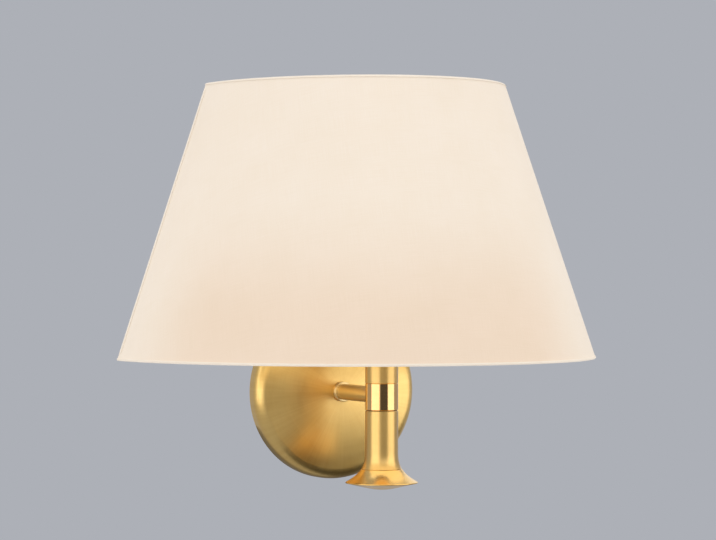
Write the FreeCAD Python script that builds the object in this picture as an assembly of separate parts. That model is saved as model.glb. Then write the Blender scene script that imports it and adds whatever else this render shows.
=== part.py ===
import FreeCAD, Part
import math
import os

# Wall light with a tapered half shade of laminated fabric.
# Millimetres. The wall is the plane y = 0, the light stands out along -Y, and +Z is up.
# The origin is where the arm's axis meets the wall, in the middle of the wall plate's back.

V = FreeCAD.Vector
X, Y, Z = V(1, 0, 0), V(0, 1, 0), V(0, 0, 1)

# ---- clearances ------------------------------------------------------------------------------
THREAD_GAP = 0.05      # radial, a threaded or pushed-in fit between fixed pieces
SEAT_GAP = 0.2         # a piece that is clamped or laid against another one
MOVING_GAP = 0.4       # between the bulb or the shade and what they move past
WELD = 0.2             # depth to which welded wires run into each other
ROUND_SAG = 1 - math.cos(math.pi / 4)  # middle of a quarter round, as a share of its radius

# ---- wall plate: a spun dish -----------------------------------------------------------------
PLATE_R = 55.0
PLATE_SKIRT = 5.0      # straight part of its side, out from the wall
PLATE_EDGE_R = 8.0     # rounded edge between side and face
PLATE_CROWN = 5.2      # how far the face bulges past the rounded edge
PLATE_T = 1.2

# ---- wall bracket ----------------------------------------------------------------------------
BRACKET_T = 1.5
BRACKET_AIR = 3.8      # between its round ends and the inside of the plate's side
BRACKET_HALF_W = 30.0
LUG_HALF_W = 6.0
LUG_REACH = 7.0        # out from the wall
LUG_AIR = 1.2          # between a lug and the inside of the plate
WALL_SLOT_SPACING = 70.0
WALL_SLOT_R = 2.25
WALL_SLOT_LENGTH = 12.0
GRUB_R = 1.5
GRUB_FROM_WALL = 3.4
GRUB_LENGTH = 6.0
GRUB_SLOT_W = 0.45
GRUB_SLOT_DEPTH = 0.75
CABLE_HOLE_R = 7.0
CABLE_HOLE_Z = 17.5
GROMMET_LIP = 1.5
GROMMET_WALL = 1.5

# ---- terminal block, earth terminal ----------------------------------------------------------
BLOCK_W, BLOCK_H, BLOCK_D = 20.0, 16.0, 9.5
BLOCK_TOP_Z = -12.0
POLE_SPACING = 11.0
POLE_DEPTH = 4.2       # the poles' axis, out from the bracket's face
CLAMP_R = 2.2
CLAMP_BORE_R = 1.35
CLAMP_END_GAP = 1.5
CLAMP_SCREW_R = 1.2
CLAMP_SCREW_INSET = 4.0
CLAMP_SCREW_PROUD = 1.2
HEAD_SLOT_W = 0.3      # of a screw head's radius
HEAD_SLOT_DEPTH = 0.45 # of a screw head's height
BLOCK_SCREW_R = 1.3
BLOCK_SCREW_HEAD_R = 2.6
EARTH_X, EARTH_Z = -20.0, -9.0
EARTH_SCREW_R = 2.0
EARTH_HEAD_R = 3.8
EARTH_HEAD_H = 2.4
EARTH_SADDLE_R = 4.6
EARTH_SADDLE_T = 1.0
LEAD_R = 1.1
LEAD_BEND_R = 5.0
LEAD_IN_CLAMP = 5.0
LEAD_FREE_RISE = 4.0   # straight stretch above the terminal block
LEAD_UNDER_INSERT = 2.75
BEND_SHARE = 0.45      # the most of a straight run that one bend takes
EARTH_LEAD_RUN = 8.0   # straight stretch beyond the tag's barrel

# ---- arm -------------------------------------------------------------------------------------
ARM_REACH = 73.6       # wall to the column's axis
ARM_R = 5.0
ARM_BORE_R = 4.0
ARM_TAIL = 8.0         # its inner end, out from the wall
COLLAR_R = 6.15
COLLAR_T = 3.2
COLLAR_GROOVE = 0.55
COLLAR_ROUND = 0.43
ARM_WASHER_R = 10.0
ARM_WASHER_T = 1.2
NUT_ACROSS_FLATS = 14.0
NUT_T = 3.0
TAG_T = 0.8
TAG_R = 8.0
TAG_REACH = 13.6       # from the arm's axis to the tag's barrel
TAG_ANGLE = 205.0      # from +X towards +Z, as seen from the room
TAG_HALF_W = 2.4
BARREL_OF_TAG_LENGTH = 4.0
BARREL_OF_TAG_WALL = 0.5

# ---- column: turned pieces on a vertical axis ------------------------------------------------
COLUMN_R = 10.0
HUB_TOP = 7.4          # above the arm's axis
HUB_BOTTOM = -8.8
HUB_CHAMBER_R = 6.5
HUB_END_WALL = 3.6
TURNED_CHAMFER = 0.25
SPACER_R = 9.3
SPACER_T = 0.5
LOWER_BORE_R = 7.2
FLARE_START = -34.0
FLARE_POWER = 2.85     # the flare's radius grows as this power of the drop
SEAM_Z = -44.6         # joint between lower column and foot
SEAM_GROOVE = 0.25
RIM_Z = -52.4
RIM_R = 21.8
RIM_T = 0.7
RIM_BULGE = 0.2
FOOT_DEPTH = 4.0       # underside's bulge below the rim
FOOT_TIP_R = 8.0       # where the underside's cone turns into its round tip
FOOT_SPIGOT_H = 3.0
TIE_ROD_R = 3.0
TIE_ROD_IN_FOOT = 5.0
UPPER_LENGTH = 27.0
UPPER_BORE_R = 8.4
NIPPLE_R = 5.0
NIPPLE_BORE_R = 4.0
NIPPLE_PROUD = 1.0     # above its nut
COLUMN_CAP_R = 12.0
COLUMN_CAP_T = 2.2

# ---- lamp holder, E27 ------------------------------------------------------------------------
HOLDER_R = 19.0
HOLDER_FOOT_R = 14.5
HOLDER_FOOT_H = 5.0
HOLDER_WALL = 2.0
HOLDER_FLOOR = 2.6
HOLDER_CAP_H = 19.5
INSERT_T = 7.0
INSERT_HOLE_DEPTH = 4.2
INSERT_LEAD_DEPTH = 3.5
TERMINAL_HOLE_RISE = 2.45  # above the insert's underside
BARREL_SKIRT_H = 2.0
FLANGE_R = 23.0
FLANGE_T = 2.5
BARREL_R = 19.75
BARREL_H = 26.0
BARREL_THREAD = 0.5
BARREL_PITCH = 2.6
BARREL_PLAIN = 1.0     # below and above the thread
BARREL_BORE_R = 14.2
HOLDER_POLE_X = 6.0
TONGUE_W = 5.0
TONGUE_T = 0.4
TONGUE_RISE = 3.2      # centre contact above the insert
TONGUE_FOOT_X = 5.7
TONGUE_KNEE_X = 1.7
TONGUE_TIP_X = 4.0
TONGUE_SLANT = 0.3     # offset of the bent stretch's underside
SIDE_TONGUE_H = 11.7
CLAMP_RING_R = 25.0
CLAMP_RING_H = 8.0
CLAMP_RING_RIBS = 24
CLAMP_RING_RIB_R = 0.9

# ---- bulb, 60 mm pear with an E27 cap --------------------------------------------------------
BULB_LENGTH = 105.0
BULB_R = 30.0
BULB_CAP_R = 13.2
BULB_CAP_H = 21.0
BULB_CAP_T = 0.6
BULB_SKIRT_H = 4.0     # plain stretch above the thread
BULB_FLOOR_H = 1.5     # slope between the cap's floor and its thread
BULB_FLOOR_INSET = 2.0
BULB_THREAD = 0.6
BULB_PITCH = 3.62
BULB_NECK_R = 11.0
BULB_NECK_IN_CAP = 10.5
BULB_NECK_PROUD = 2.0
PEAR_BLEND = ((0.10, 0.22), (0.38, 0.45), (0.76, 0.70))  # shares of widening, of rise
BULB_GLASS_T = 0.8
BULB_CONTACT_R = 4.6
SOLDER_R = 3.2
BULB_CONTACT_H = 1.2
BULB_INSULATOR_H = 3.0
STEM_R = 4.0
STEM_TOP = 44.0        # above the cap's upper edge
STEM_KNEE_R = 5.6
STEM_KNEE_H = 4.0
STEM_FLARE_H = 11.0
FILAMENT_R = 0.9
FILAMENT_LENGTH = 32.0
FILAMENTS = 4
FILAMENT_CIRCLE_R = 10.0
FILAMENT_LEAN = 3.0    # how much further out each filament's lower end is
SUPPORT_R = 0.4
SUPPORT_DEPTH = 2.0    # upper supports, into the stem
FILAMENT_RISE = 6.0    # upper ends above the stem's top
UPPER_SUPPORT_DROP = 4.0
LOWER_SUPPORT_DROP = 3.0

# ---- half shade ------------------------------------------------------------------------------
SHADE_BOTTOM_Z = 21.5
SHADE_HEIGHT = 168.2
SHADE_GAP = 22.7       # cut back edges to the wall
BOTTOM_HALF_W = 151.6
BOTTOM_DEPTH = 165.8   # back edges to the front of the bottom edge
TOP_HALF_W = 93.7
TOP_DEPTH = 115.6
FABRIC_T = 0.5
LINER_T = 0.6
GLUE_GAP = 0.08
WIRE_R = 1.3
HEM_T = 0.4
HEM_LIP = 1.7          # height of the turned edge that shows outside
HEM_INNER = 4.6        # height of its inner side, which covers the wire
BACK_HEM_W = 5.0
UPRIGHT_PROUD = 0.78   # past the centres of the edge wires
NOTCH_REACH = 16.7     # slits for the fitter's wires, inwards
NOTCH_H = 13.4
FITTER_RING_R = 29.0
FITTER_RING_T = 1.2
FITTER_LEVEL_RUN = 9.0
FITTER_WIRE_R = 1.4
FITTER_BEND_R = 14.0
FITTER_ANGLES = (-90.0, 14.0, 166.0)   # front, right, left, seen from above

# ---- places that follow from the sizes -------------------------------------------------------
COLUMN_Y = -ARM_REACH
PLATE_FLAT_R = PLATE_R - PLATE_EDGE_R
DOME_RISE = PLATE_EDGE_R + PLATE_CROWN
DOME_R = (PLATE_FLAT_R ** 2 + DOME_RISE ** 2 - PLATE_EDGE_R ** 2) / (2 * PLATE_CROWN)
PLATE_FACE = PLATE_SKIRT + DOME_RISE
DOME_CENTRE = PLATE_FACE - DOME_R
BRACKET_R = PLATE_R - PLATE_T - BRACKET_AIR
LUG_Z = PLATE_R - PLATE_T - LUG_AIR
SPACER_BOTTOM = HUB_BOTTOM - SPACER_T
UPPER_TOP = HUB_TOP + UPPER_LENGTH
HOLDER_Z = UPPER_TOP + COLUMN_CAP_T
HOLDER_SPLIT = HOLDER_Z + HOLDER_CAP_H
FLANGE_TOP = HOLDER_SPLIT + BARREL_SKIRT_H + FLANGE_T
BARREL_TOP = FLANGE_TOP + BARREL_H
INSERT_TOP = HOLDER_SPLIT + BARREL_SKIRT_H
INSERT_BOTTOM = INSERT_TOP - INSERT_T
NIPPLE_NUT_Z = HOLDER_Z + HOLDER_FLOOR
NIPPLE_TOP = NIPPLE_NUT_Z + NUT_T + NIPPLE_PROUD
FITTER_Z = FLANGE_TOP + SEAT_GAP
CLAMP_RING_Z = FITTER_Z + FITTER_RING_T + SEAT_GAP
BULB_Z = INSERT_TOP + TONGUE_RISE + MOVING_GAP
BULB_CAP_Z = BULB_Z + BULB_CONTACT_H + BULB_INSULATOR_H
BULB_CAP_TOP = BULB_CAP_Z + BULB_CAP_H
SHADE_TOP_Z = SHADE_BOTTOM_Z + SHADE_HEIGHT
LINER_OUT = FABRIC_T + GLUE_GAP
LINER_IN = LINER_OUT + LINER_T
WIRE_INSET = LINER_IN + SEAT_GAP + WIRE_R
HEM_POCKET = WIRE_INSET + WIRE_R + SEAT_GAP
BOTTOM_WIRE_Z = SHADE_BOTTOM_Z + HEM_T + SEAT_GAP + WIRE_R
TOP_WIRE_Z = SHADE_TOP_Z - HEM_T - SEAT_GAP - WIRE_R
UPRIGHT_Y = -(SHADE_GAP + HEM_T + SEAT_GAP + WIRE_R)


# ---- helpers ---------------------------------------------------------------------------------
def outline(*steps):
    """Closed wire in (radius, height): a start point, then points to reach, ("arc", middle, end)
    or ("curve", points)."""
    edges = []
    here = start = steps[0]
    for step in steps[1:] + (start,):
        if step[0] == "arc":
            edges.append(Part.Arc(flat(here), flat(step[1]), flat(step[2])).toShape())
            here = step[2]
        elif step[0] == "curve":
            curve = Part.BSplineCurve()
            curve.interpolate([flat(p) for p in (here,) + tuple(step[1])])
            edges.append(curve.toShape())
            here = step[1][-1]
        elif math.dist(here, step) > 1e-6:
            edges.append(Part.LineSegment(flat(here), flat(step)).toShape())
            here = step
    return Part.Wire(edges)


def flat(point):
    return V(point[0], 0, point[1])


def cap_arc(start, end_height):
    """Arc step from a point to the axis, which it meets square, as the top of a ball does."""
    radius, height = start
    centre = (end_height ** 2 - height ** 2 - radius ** 2) / (2 * (end_height - height))
    ball_r = abs(end_height - centre)
    toward = 1 if end_height > centre else -1
    half = math.atan2(radius, toward * (height - centre)) / 2
    return ("arc", (ball_r * math.sin(half), centre + toward * ball_r * math.cos(half)), (0, end_height))


def turned(*steps):
    """Solid turned about the column's axis, from an outline in (radius, z)."""
    solid = Part.Face(outline(*steps)).revolve(V(0, 0, 0), Z, 360)
    solid.translate(V(0, COLUMN_Y, 0))
    return solid


def turned_on_arm(*steps):
    """Solid turned about the arm's axis, from an outline in (radius, distance out from the wall)."""
    solid = Part.Face(outline(*steps)).revolve(V(0, 0, 0), Z, 360)
    solid.rotate(V(0, 0, 0), X, 90)
    return solid


def tube_z(radius, bore, low, high):
    ring = Part.makeCylinder(radius, high - low, V(0, COLUMN_Y, low))
    return ring.cut(Part.makeCylinder(bore, high - low, V(0, COLUMN_Y, low)))


def tube_out(radius, bore, near, far):
    """Tube along the arm's axis, from near to far, both measured out from the wall."""
    ring = Part.makeCylinder(radius, far - near, V(0, -near, 0), -Y)
    return ring.cut(Part.makeCylinder(bore, far - near, V(0, -near, 0), -Y))


def box(low, high):
    return Part.makeBox(high[0] - low[0], high[1] - low[1], high[2] - low[2], V(*low))


def hexagon(across, thickness):
    """Hexagonal prism on the XY plane, about the Z axis."""
    corner = across / math.sqrt(3)
    turns = [math.radians(60 * i) for i in range(6)]
    points = [V(corner * math.cos(a), corner * math.sin(a), 0) for a in turns]
    return Part.Face(Part.makePolygon(points + points[:1])).extrude(Z * thickness)


def nut(bore):
    return hexagon(NUT_ACROSS_FLATS, NUT_T).cut(Part.makeCylinder(bore, NUT_T))


def at_column(solid, z):
    solid.translate(V(0, COLUMN_Y, z))
    return solid


def path_of(points, radius):
    """Straight runs joined by tangent arcs. Each arc is as large as radius, or as its runs allow."""
    edges = []
    here = points[0]
    for before, corner, after in zip(points, points[1:], points[2:]):
        back, ahead = before - corner, after - corner
        turn = math.pi - back.getAngle(ahead)
        room = BEND_SHARE * min(back.Length, ahead.Length)
        reach = min(room, radius * math.tan(turn / 2))
        bend_r = reach / math.tan(turn / 2)
        a, b = back.normalize(), ahead.normalize()
        first, last = corner + a * reach, corner + b * reach
        inward = (a + b).normalize()
        middle = corner + inward * (bend_r / math.cos(turn / 2) - bend_r)
        edges.append(Part.LineSegment(here, first).toShape())
        edges.append(Part.Arc(first, middle, last).toShape())
        here = last
    edges.append(Part.LineSegment(here, points[-1]).toShape())
    return Part.Wire(edges)


def rod(points, radius, bend):
    """Round wire or lead along straight runs and tangent arcs."""
    path = path_of(points, bend)
    start = Part.Circle(points[0], points[1] - points[0], radius).toShape()
    return path.makePipeShell([Part.Wire(start)], True, False)


def straight_rod(start, end, radius):
    return Part.makeCylinder(radius, start.distanceToPoint(end), start, end - start)


def save(name, *solids):
    shape = solids[0] if len(solids) == 1 else Part.makeCompound(list(solids))
    shape.exportStep("parts/%s.step" % name)


# ---- wall plate and what is behind it --------------------------------------------------------
def dish_outline(inset):
    """Points and arcs of the dish's skin, set in by inset: rim, edge arc, dome."""
    edge_r, dome_r = PLATE_EDGE_R - inset, DOME_R - inset
    tangent = math.asin(PLATE_FLAT_R / (DOME_R - PLATE_EDGE_R))

    def on_edge(angle):
        return (PLATE_FLAT_R + edge_r * math.cos(angle), PLATE_SKIRT + edge_r * math.sin(angle))

    def on_dome(radius):
        return (radius, DOME_CENTRE + math.sqrt(dome_r ** 2 - radius ** 2))

    last = math.pi / 2 - tangent
    hole = ARM_R + THREAD_GAP
    return {
        "rim": (PLATE_R - inset, 0.0),
        "side": on_edge(0.0),
        "edge_middle": on_edge(last / 2),
        "edge_end": on_edge(last),
        "dome_middle": on_dome(PLATE_FLAT_R / 2),
        "hole": on_dome(hole),
    }


def wall_plate():
    outer, inner = dish_outline(0.0), dish_outline(PLATE_T)
    dish = turned_on_arm(
        outer["rim"], outer["side"], ("arc", outer["edge_middle"], outer["edge_end"]),
        ("arc", outer["dome_middle"], outer["hole"]), inner["hole"],
        ("arc", inner["dome_middle"], inner["edge_end"]),
        ("arc", inner["edge_middle"], inner["side"]), inner["rim"])
    holes = Part.makeCylinder(GRUB_R + THREAD_GAP, 4 * PLATE_R, V(0, -GRUB_FROM_WALL, -2 * PLATE_R))
    return dish.cut(holes)


def dish_depth(radius):
    """Distance from the wall to the inside of the dish's dome at a radius."""
    return DOME_CENTRE + math.sqrt((DOME_R - PLATE_T) ** 2 - radius ** 2)


def wall_slot(z):
    half = WALL_SLOT_LENGTH / 2 - WALL_SLOT_R
    slot = box((-WALL_SLOT_R, -BRACKET_T, z - half), (WALL_SLOT_R, 0, z + half))
    for end in (z - half, z + half):
        slot = slot.fuse(Part.makeCylinder(WALL_SLOT_R, BRACKET_T, V(0, -BRACKET_T, end), Y))
    return slot


def wall_bracket():
    sheet = Part.makeCylinder(BRACKET_R, BRACKET_T, V(0, -BRACKET_T, 0), Y)
    sheet = sheet.common(box((-BRACKET_HALF_W, -BRACKET_T, -BRACKET_R), (BRACKET_HALF_W, 0, BRACKET_R)))
    sheet = sheet.fuse(box((-LUG_HALF_W, -BRACKET_T, -LUG_Z), (LUG_HALF_W, 0, LUG_Z)))
    for side in (-1, 1):
        low, high = sorted((side * LUG_Z, side * (LUG_Z - BRACKET_T)))
        sheet = sheet.fuse(box((-LUG_HALF_W, -LUG_REACH, low), (LUG_HALF_W, 0, high)))
        sheet = sheet.cut(wall_slot(side * WALL_SLOT_SPACING / 2))
    holes = [
        Part.makeCylinder(GRUB_R + THREAD_GAP, 4 * PLATE_R, V(0, -GRUB_FROM_WALL, -2 * PLATE_R)),
        Part.makeCylinder(CABLE_HOLE_R, BRACKET_T, V(0, -BRACKET_T, CABLE_HOLE_Z), Y),
        Part.makeCylinder(EARTH_SCREW_R + THREAD_GAP, BRACKET_T, V(EARTH_X, -BRACKET_T, EARTH_Z), Y),
        Part.makeCylinder(BLOCK_SCREW_R + THREAD_GAP, BRACKET_T, V(0, -BRACKET_T, block_middle_z()), Y),
    ]
    return sheet.cut(holes).removeSplitter()


def grub_screws():
    """Two slotted grub screws, flush with the plate's side."""
    screws = []
    for side in (-1, 1):
        outer = V(0, -GRUB_FROM_WALL, side * PLATE_R)
        screw = Part.makeCylinder(GRUB_R, GRUB_LENGTH, outer, Z * -side)
        half = GRUB_SLOT_W / 2
        slot = box((-GRUB_R, -half, -GRUB_SLOT_DEPTH), (GRUB_R, half, GRUB_SLOT_DEPTH))
        slot.translate(outer)
        screws.append(screw.cut(slot))
    return screws


def cable_grommet():
    """Rubber ring in the bracket's cable hole, with a lip on the room's side."""
    body_r = CABLE_HOLE_R - THREAD_GAP
    face = V(0, -BRACKET_T - GROMMET_LIP, 0)
    ring = Part.makeCylinder(body_r, -face.y, face, Y)
    lip = Part.makeCylinder(CABLE_HOLE_R + GROMMET_LIP, GROMMET_LIP, face, Y)
    ring = ring.fuse(lip).cut(
        Part.makeCylinder(CABLE_HOLE_R - GROMMET_WALL, 4 * PLATE_SKIRT, V(0, -2 * PLATE_SKIRT, 0), Y))
    ring.translate(V(0, 0, CABLE_HOLE_Z))
    return ring.removeSplitter()


def block_middle_z():
    return BLOCK_TOP_Z - BLOCK_H / 2


def pole_y():
    return -(BRACKET_T + POLE_DEPTH)


def block_front_y():
    return -(BRACKET_T + BLOCK_D)


def clamp_screw_places():
    """Places of the clamp screws: two on each pole."""
    low, high = BLOCK_TOP_Z - BLOCK_H + CLAMP_SCREW_INSET, BLOCK_TOP_Z - CLAMP_SCREW_INSET
    return [(side * POLE_SPACING / 2, z) for side in (-1, 1) for z in (low, high)]


def terminal_block():
    low_z = BLOCK_TOP_Z - BLOCK_H
    body = box((-BLOCK_W / 2, block_front_y(), low_z), (BLOCK_W / 2, -BRACKET_T, BLOCK_TOP_Z))
    for side in (-1, 1):
        foot = V(side * POLE_SPACING / 2, pole_y(), low_z)
        body = body.cut(Part.makeCylinder(CLAMP_R + THREAD_GAP, BLOCK_H, foot))
    for x, z in clamp_screw_places():
        body = body.cut(Part.makeCylinder(CLAMP_R, BLOCK_D, V(x, pole_y(), z), -Y))
    middle = block_middle_z()
    screw_hole = Part.makeCylinder(BLOCK_SCREW_R + THREAD_GAP, BLOCK_D, V(0, -BRACKET_T, middle), -Y)
    head_room = Part.makeCylinder(
        BLOCK_SCREW_HEAD_R + THREAD_GAP, BLOCK_D, V(0, -BRACKET_T - POLE_DEPTH, middle), -Y)
    return body.cut([screw_hole, head_room])


def terminal_clamps():
    """Brass tubes that the leads go into, one on each pole."""
    clamps = []
    length = BLOCK_H - 2 * CLAMP_END_GAP
    for side in (-1, 1):
        foot = V(side * POLE_SPACING / 2, pole_y(), BLOCK_TOP_Z - BLOCK_H + CLAMP_END_GAP)
        clamp = Part.makeCylinder(CLAMP_R, length, foot)
        clamp = clamp.cut(Part.makeCylinder(CLAMP_BORE_R, length, foot))
        for x, z in clamp_screw_places():
            place = V(x, pole_y(), z)
            clamp = clamp.cut(Part.makeCylinder(CLAMP_SCREW_R + THREAD_GAP, BLOCK_D, place, -Y))
        clamps.append(clamp)
    return clamps


def screw_out(place, radius, head_r, head_h, length):
    """Cheese-head screw whose head sits at place and faces the room, shank towards the wall."""
    shank = Part.makeCylinder(radius, length, place, Y)
    head = Part.makeCylinder(head_r, head_h, place, -Y)
    half, floor = HEAD_SLOT_W * head_r / 2, (1 - HEAD_SLOT_DEPTH) * head_h
    slot = box((-head_r, -head_h, -half), (head_r, -floor, half))
    slot.translate(place)
    return shank.fuse(head).cut(slot)


def terminal_screws():
    screws = []
    start = LEAD_R + THREAD_GAP
    length = CLAMP_R + CLAMP_SCREW_PROUD - start
    for x, z in clamp_screw_places():
        seat = V(x, pole_y() - start - length, z)
        screws.append(screw_out(seat, CLAMP_SCREW_R, CLAMP_R - SEAT_GAP, CLAMP_SCREW_PROUD, length))
    return screws


def block_screw():
    seat = V(0, -BRACKET_T - POLE_DEPTH, block_middle_z())
    return screw_out(seat, BLOCK_SCREW_R, BLOCK_SCREW_HEAD_R, BLOCK_SCREW_R, POLE_DEPTH + BRACKET_T)


def earth_screw():
    """Screw and square-edged saddle washer that clamp the earth lead on the bracket."""
    saddle_y = -(BRACKET_T + 2 * LEAD_R + THREAD_GAP)
    saddle = Part.makeCylinder(EARTH_SADDLE_R, EARTH_SADDLE_T, V(EARTH_X, saddle_y, EARTH_Z), -Y)
    seat = V(EARTH_X, saddle_y - EARTH_SADDLE_T, EARTH_Z)
    screw = screw_out(seat, EARTH_SCREW_R, EARTH_HEAD_R, EARTH_HEAD_H, -seat.y)
    return screw.fuse(saddle).removeSplitter()


# ---- arm -------------------------------------------------------------------------------------
def washer_far():
    """Room side of the washer inside the plate, where its edge meets the dome."""
    return dish_depth(ARM_WASHER_R) - THREAD_GAP


def washer_near():
    return washer_far() - ARM_WASHER_T


def tag_near():
    return washer_near() - TAG_T


def nut_near():
    return tag_near() - NUT_T


def arm_tube():
    return tube_out(ARM_R, ARM_BORE_R, ARM_TAIL, ARM_REACH - HUB_CHAMBER_R - SEAT_GAP)


def collar_seat():
    return DOME_CENTRE + math.sqrt(DOME_R ** 2 - COLLAR_R ** 2) + THREAD_GAP


def arm_collar():
    """Turned bead with a rounded groove, pushed on the arm against the plate."""
    near, bore = collar_seat(), ARM_R + THREAD_GAP
    far, third = near + COLLAR_T, COLLAR_T / 3
    sag = ROUND_SAG * COLLAR_ROUND
    return turned_on_arm(
        (bore, near), (COLLAR_R, near), (COLLAR_R, near + third),
        ("arc", (COLLAR_R - COLLAR_GROOVE, near + 1.5 * third), (COLLAR_R, near + 2 * third)),
        (COLLAR_R, far - COLLAR_ROUND),
        ("arc", (COLLAR_R - sag, far - sag), (COLLAR_R - COLLAR_ROUND, far)),
        (bore, far))


def arm_washer():
    return tube_out(ARM_WASHER_R, ARM_R + THREAD_GAP, washer_near(), washer_far())


def arm_lock_nut():
    shape = nut(ARM_R + THREAD_GAP)
    shape.rotate(V(0, 0, 0), X, 90)
    shape.translate(V(0, -nut_near(), 0))
    return shape


def tag_tail():
    """End of the earth tag's tail: where the earth lead leaves it."""
    angle = math.radians(TAG_ANGLE)
    return V(TAG_REACH * math.cos(angle), 0, TAG_REACH * math.sin(angle))


def earth_tag():
    """Ring tag under the lock nut, with a tail and a crimped barrel."""
    ring = tube_out(TAG_R, ARM_R + THREAD_GAP, tag_near(), washer_near())
    end = tag_tail()
    tail = box((0, -washer_near(), -TAG_HALF_W), (TAG_REACH, -tag_near(), TAG_HALF_W))
    tail.rotate(V(0, 0, 0), Y, -TAG_ANGLE)
    tail = tail.cut(Part.makeCylinder(ARM_R + THREAD_GAP, PLATE_FACE, V(0, 0, 0), -Y))
    place = V(end.x, -(tag_near() - LEAD_R), end.z)
    barrel = Part.makeCylinder(LEAD_R + BARREL_OF_TAG_WALL, BARREL_OF_TAG_LENGTH, place, end)
    bore = Part.makeCylinder(LEAD_R + THREAD_GAP, BARREL_OF_TAG_LENGTH, place, end)
    return ring.fuse(tail).fuse(barrel).cut(bore).removeSplitter()


# ---- leads -----------------------------------------------------------------------------------
def current_lead(side):
    """Insulated lead from the terminal block through the arm and the column to the lamp holder."""
    arm_x = side * (LEAD_R + SEAT_GAP)
    back_y = pole_y()
    pole_x = side * POLE_SPACING / 2
    pole_z = BLOCK_TOP_Z + LEAD_FREE_RISE
    return rod([
        V(pole_x, back_y, BLOCK_TOP_Z - LEAD_IN_CLAMP),
        V(pole_x, back_y, pole_z),
        V(arm_x, back_y, (pole_z + ARM_BORE_R) / 2),
        V(arm_x, -ARM_TAIL, 0),
        V(arm_x, COLUMN_Y, 0),
        V(arm_x, COLUMN_Y, NIPPLE_TOP + LEAD_R),
        V(side * HOLDER_POLE_X, COLUMN_Y, INSERT_BOTTOM - LEAD_UNDER_INSERT),
        V(side * HOLDER_POLE_X, COLUMN_Y, INSERT_BOTTOM + INSERT_LEAD_DEPTH),
    ], LEAD_R, LEAD_BEND_R)


def earth_lead():
    """Lead from the tag's barrel to under the saddle washer on the bracket."""
    end = tag_tail()
    out = V(end.x, 0, end.z).normalize()
    barrel = V(end.x, -(tag_near() - LEAD_R), end.z)
    flat_y = -(BRACKET_T + LEAD_R)
    beside_z = EARTH_Z - EARTH_SCREW_R - LEAD_R - SEAT_GAP
    round_x = EARTH_X - EARTH_SADDLE_R
    return rod([
        barrel + out * SEAT_GAP,
        barrel + out * EARTH_LEAD_RUN,
        V(round_x - EARTH_LEAD_RUN / 2, (barrel.y + flat_y) / 2, EARTH_Z + EARTH_SADDLE_R),
        V(round_x - LEAD_BEND_R, flat_y, beside_z),
        V(EARTH_X + EARTH_SADDLE_R, flat_y, beside_z),
    ], LEAD_R, LEAD_BEND_R)


# ---- column ----------------------------------------------------------------------------------
def flare_r(z):
    """Radius of the lower column and foot at height z."""
    drop = max(0.0, (FLARE_START - z) / (FLARE_START - RIM_Z))
    return COLUMN_R + (RIM_R - COLUMN_R) * drop ** FLARE_POWER


def flare_points(high, low, count=5):
    step = (low - high) / count
    return [(flare_r(high + step * i), high + step * i) for i in range(1, count + 1)]


def hub():
    chamfer = TURNED_CHAMFER
    body = turned(
        (0, HUB_BOTTOM), (COLUMN_R - chamfer, HUB_BOTTOM), (COLUMN_R, HUB_BOTTOM + chamfer),
        (COLUMN_R, HUB_TOP - chamfer), (COLUMN_R - chamfer, HUB_TOP), (0, HUB_TOP))
    low, high = HUB_BOTTOM + HUB_END_WALL, HUB_TOP - HUB_END_WALL
    chamber = Part.makeCylinder(HUB_CHAMBER_R, high - low, V(0, COLUMN_Y, low))
    holes = [
        chamber,
        Part.makeCylinder(NIPPLE_R + THREAD_GAP, HUB_TOP - high, V(0, COLUMN_Y, high)),
        Part.makeCylinder(TIE_ROD_R + THREAD_GAP, low - HUB_BOTTOM, V(0, COLUMN_Y, HUB_BOTTOM)),
        Part.makeCylinder(ARM_R + THREAD_GAP, COLUMN_R, V(0, COLUMN_Y, 0), Y),
    ]
    return body.cut(holes)


def spacer_washer():
    return tube_z(SPACER_R, TIE_ROD_R + THREAD_GAP, SPACER_BOTTOM, HUB_BOTTOM)


def lower_column():
    chamfer = TURNED_CHAMFER
    seam_r = flare_r(SEAM_Z)
    return turned(
        (LOWER_BORE_R, SPACER_BOTTOM), (COLUMN_R - chamfer, SPACER_BOTTOM),
        (COLUMN_R, SPACER_BOTTOM - chamfer), (COLUMN_R, FLARE_START),
        ("curve", flare_points(FLARE_START, SEAM_Z + SEAM_GROOVE)),
        (seam_r - SEAM_GROOVE, SEAM_Z), (LOWER_BORE_R, SEAM_Z))


def foot():
    """Polished flared rim with a shallow bulging underside and a spigot that centres it."""
    spigot_r = LOWER_BORE_R - THREAD_GAP
    low_rim = RIM_Z - RIM_T
    slope = math.atan(FOOT_DEPTH / (RIM_R - FOOT_TIP_R / 2))
    tip = (FOOT_TIP_R, low_rim - (RIM_R - FOOT_TIP_R) * math.tan(slope))
    bottom = tip[1] - FOOT_TIP_R * math.tan(slope / 2)
    body = turned(
        (0, SEAM_Z + FOOT_SPIGOT_H), (spigot_r, SEAM_Z + FOOT_SPIGOT_H), (spigot_r, SEAM_Z),
        (flare_r(SEAM_Z) - SEAM_GROOVE, SEAM_Z), (flare_r(SEAM_Z - SEAM_GROOVE), SEAM_Z - SEAM_GROOVE),
        ("curve", flare_points(SEAM_Z - SEAM_GROOVE, RIM_Z)),
        ("arc", (RIM_R + RIM_BULGE, RIM_Z - RIM_T / 2), (RIM_R, low_rim)),
        tip, cap_arc(tip, bottom))
    place = V(0, COLUMN_Y, SEAM_Z - TIE_ROD_IN_FOOT)
    hole = Part.makeCylinder(TIE_ROD_R + THREAD_GAP, TIE_ROD_IN_FOOT + FOOT_SPIGOT_H, place)
    return body.cut(hole)


def tie_rod():
    low, high = SEAM_Z - TIE_ROD_IN_FOOT + SEAT_GAP, HUB_BOTTOM + HUB_END_WALL
    return Part.makeCylinder(TIE_ROD_R, high - low, V(0, COLUMN_Y, low))


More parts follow.
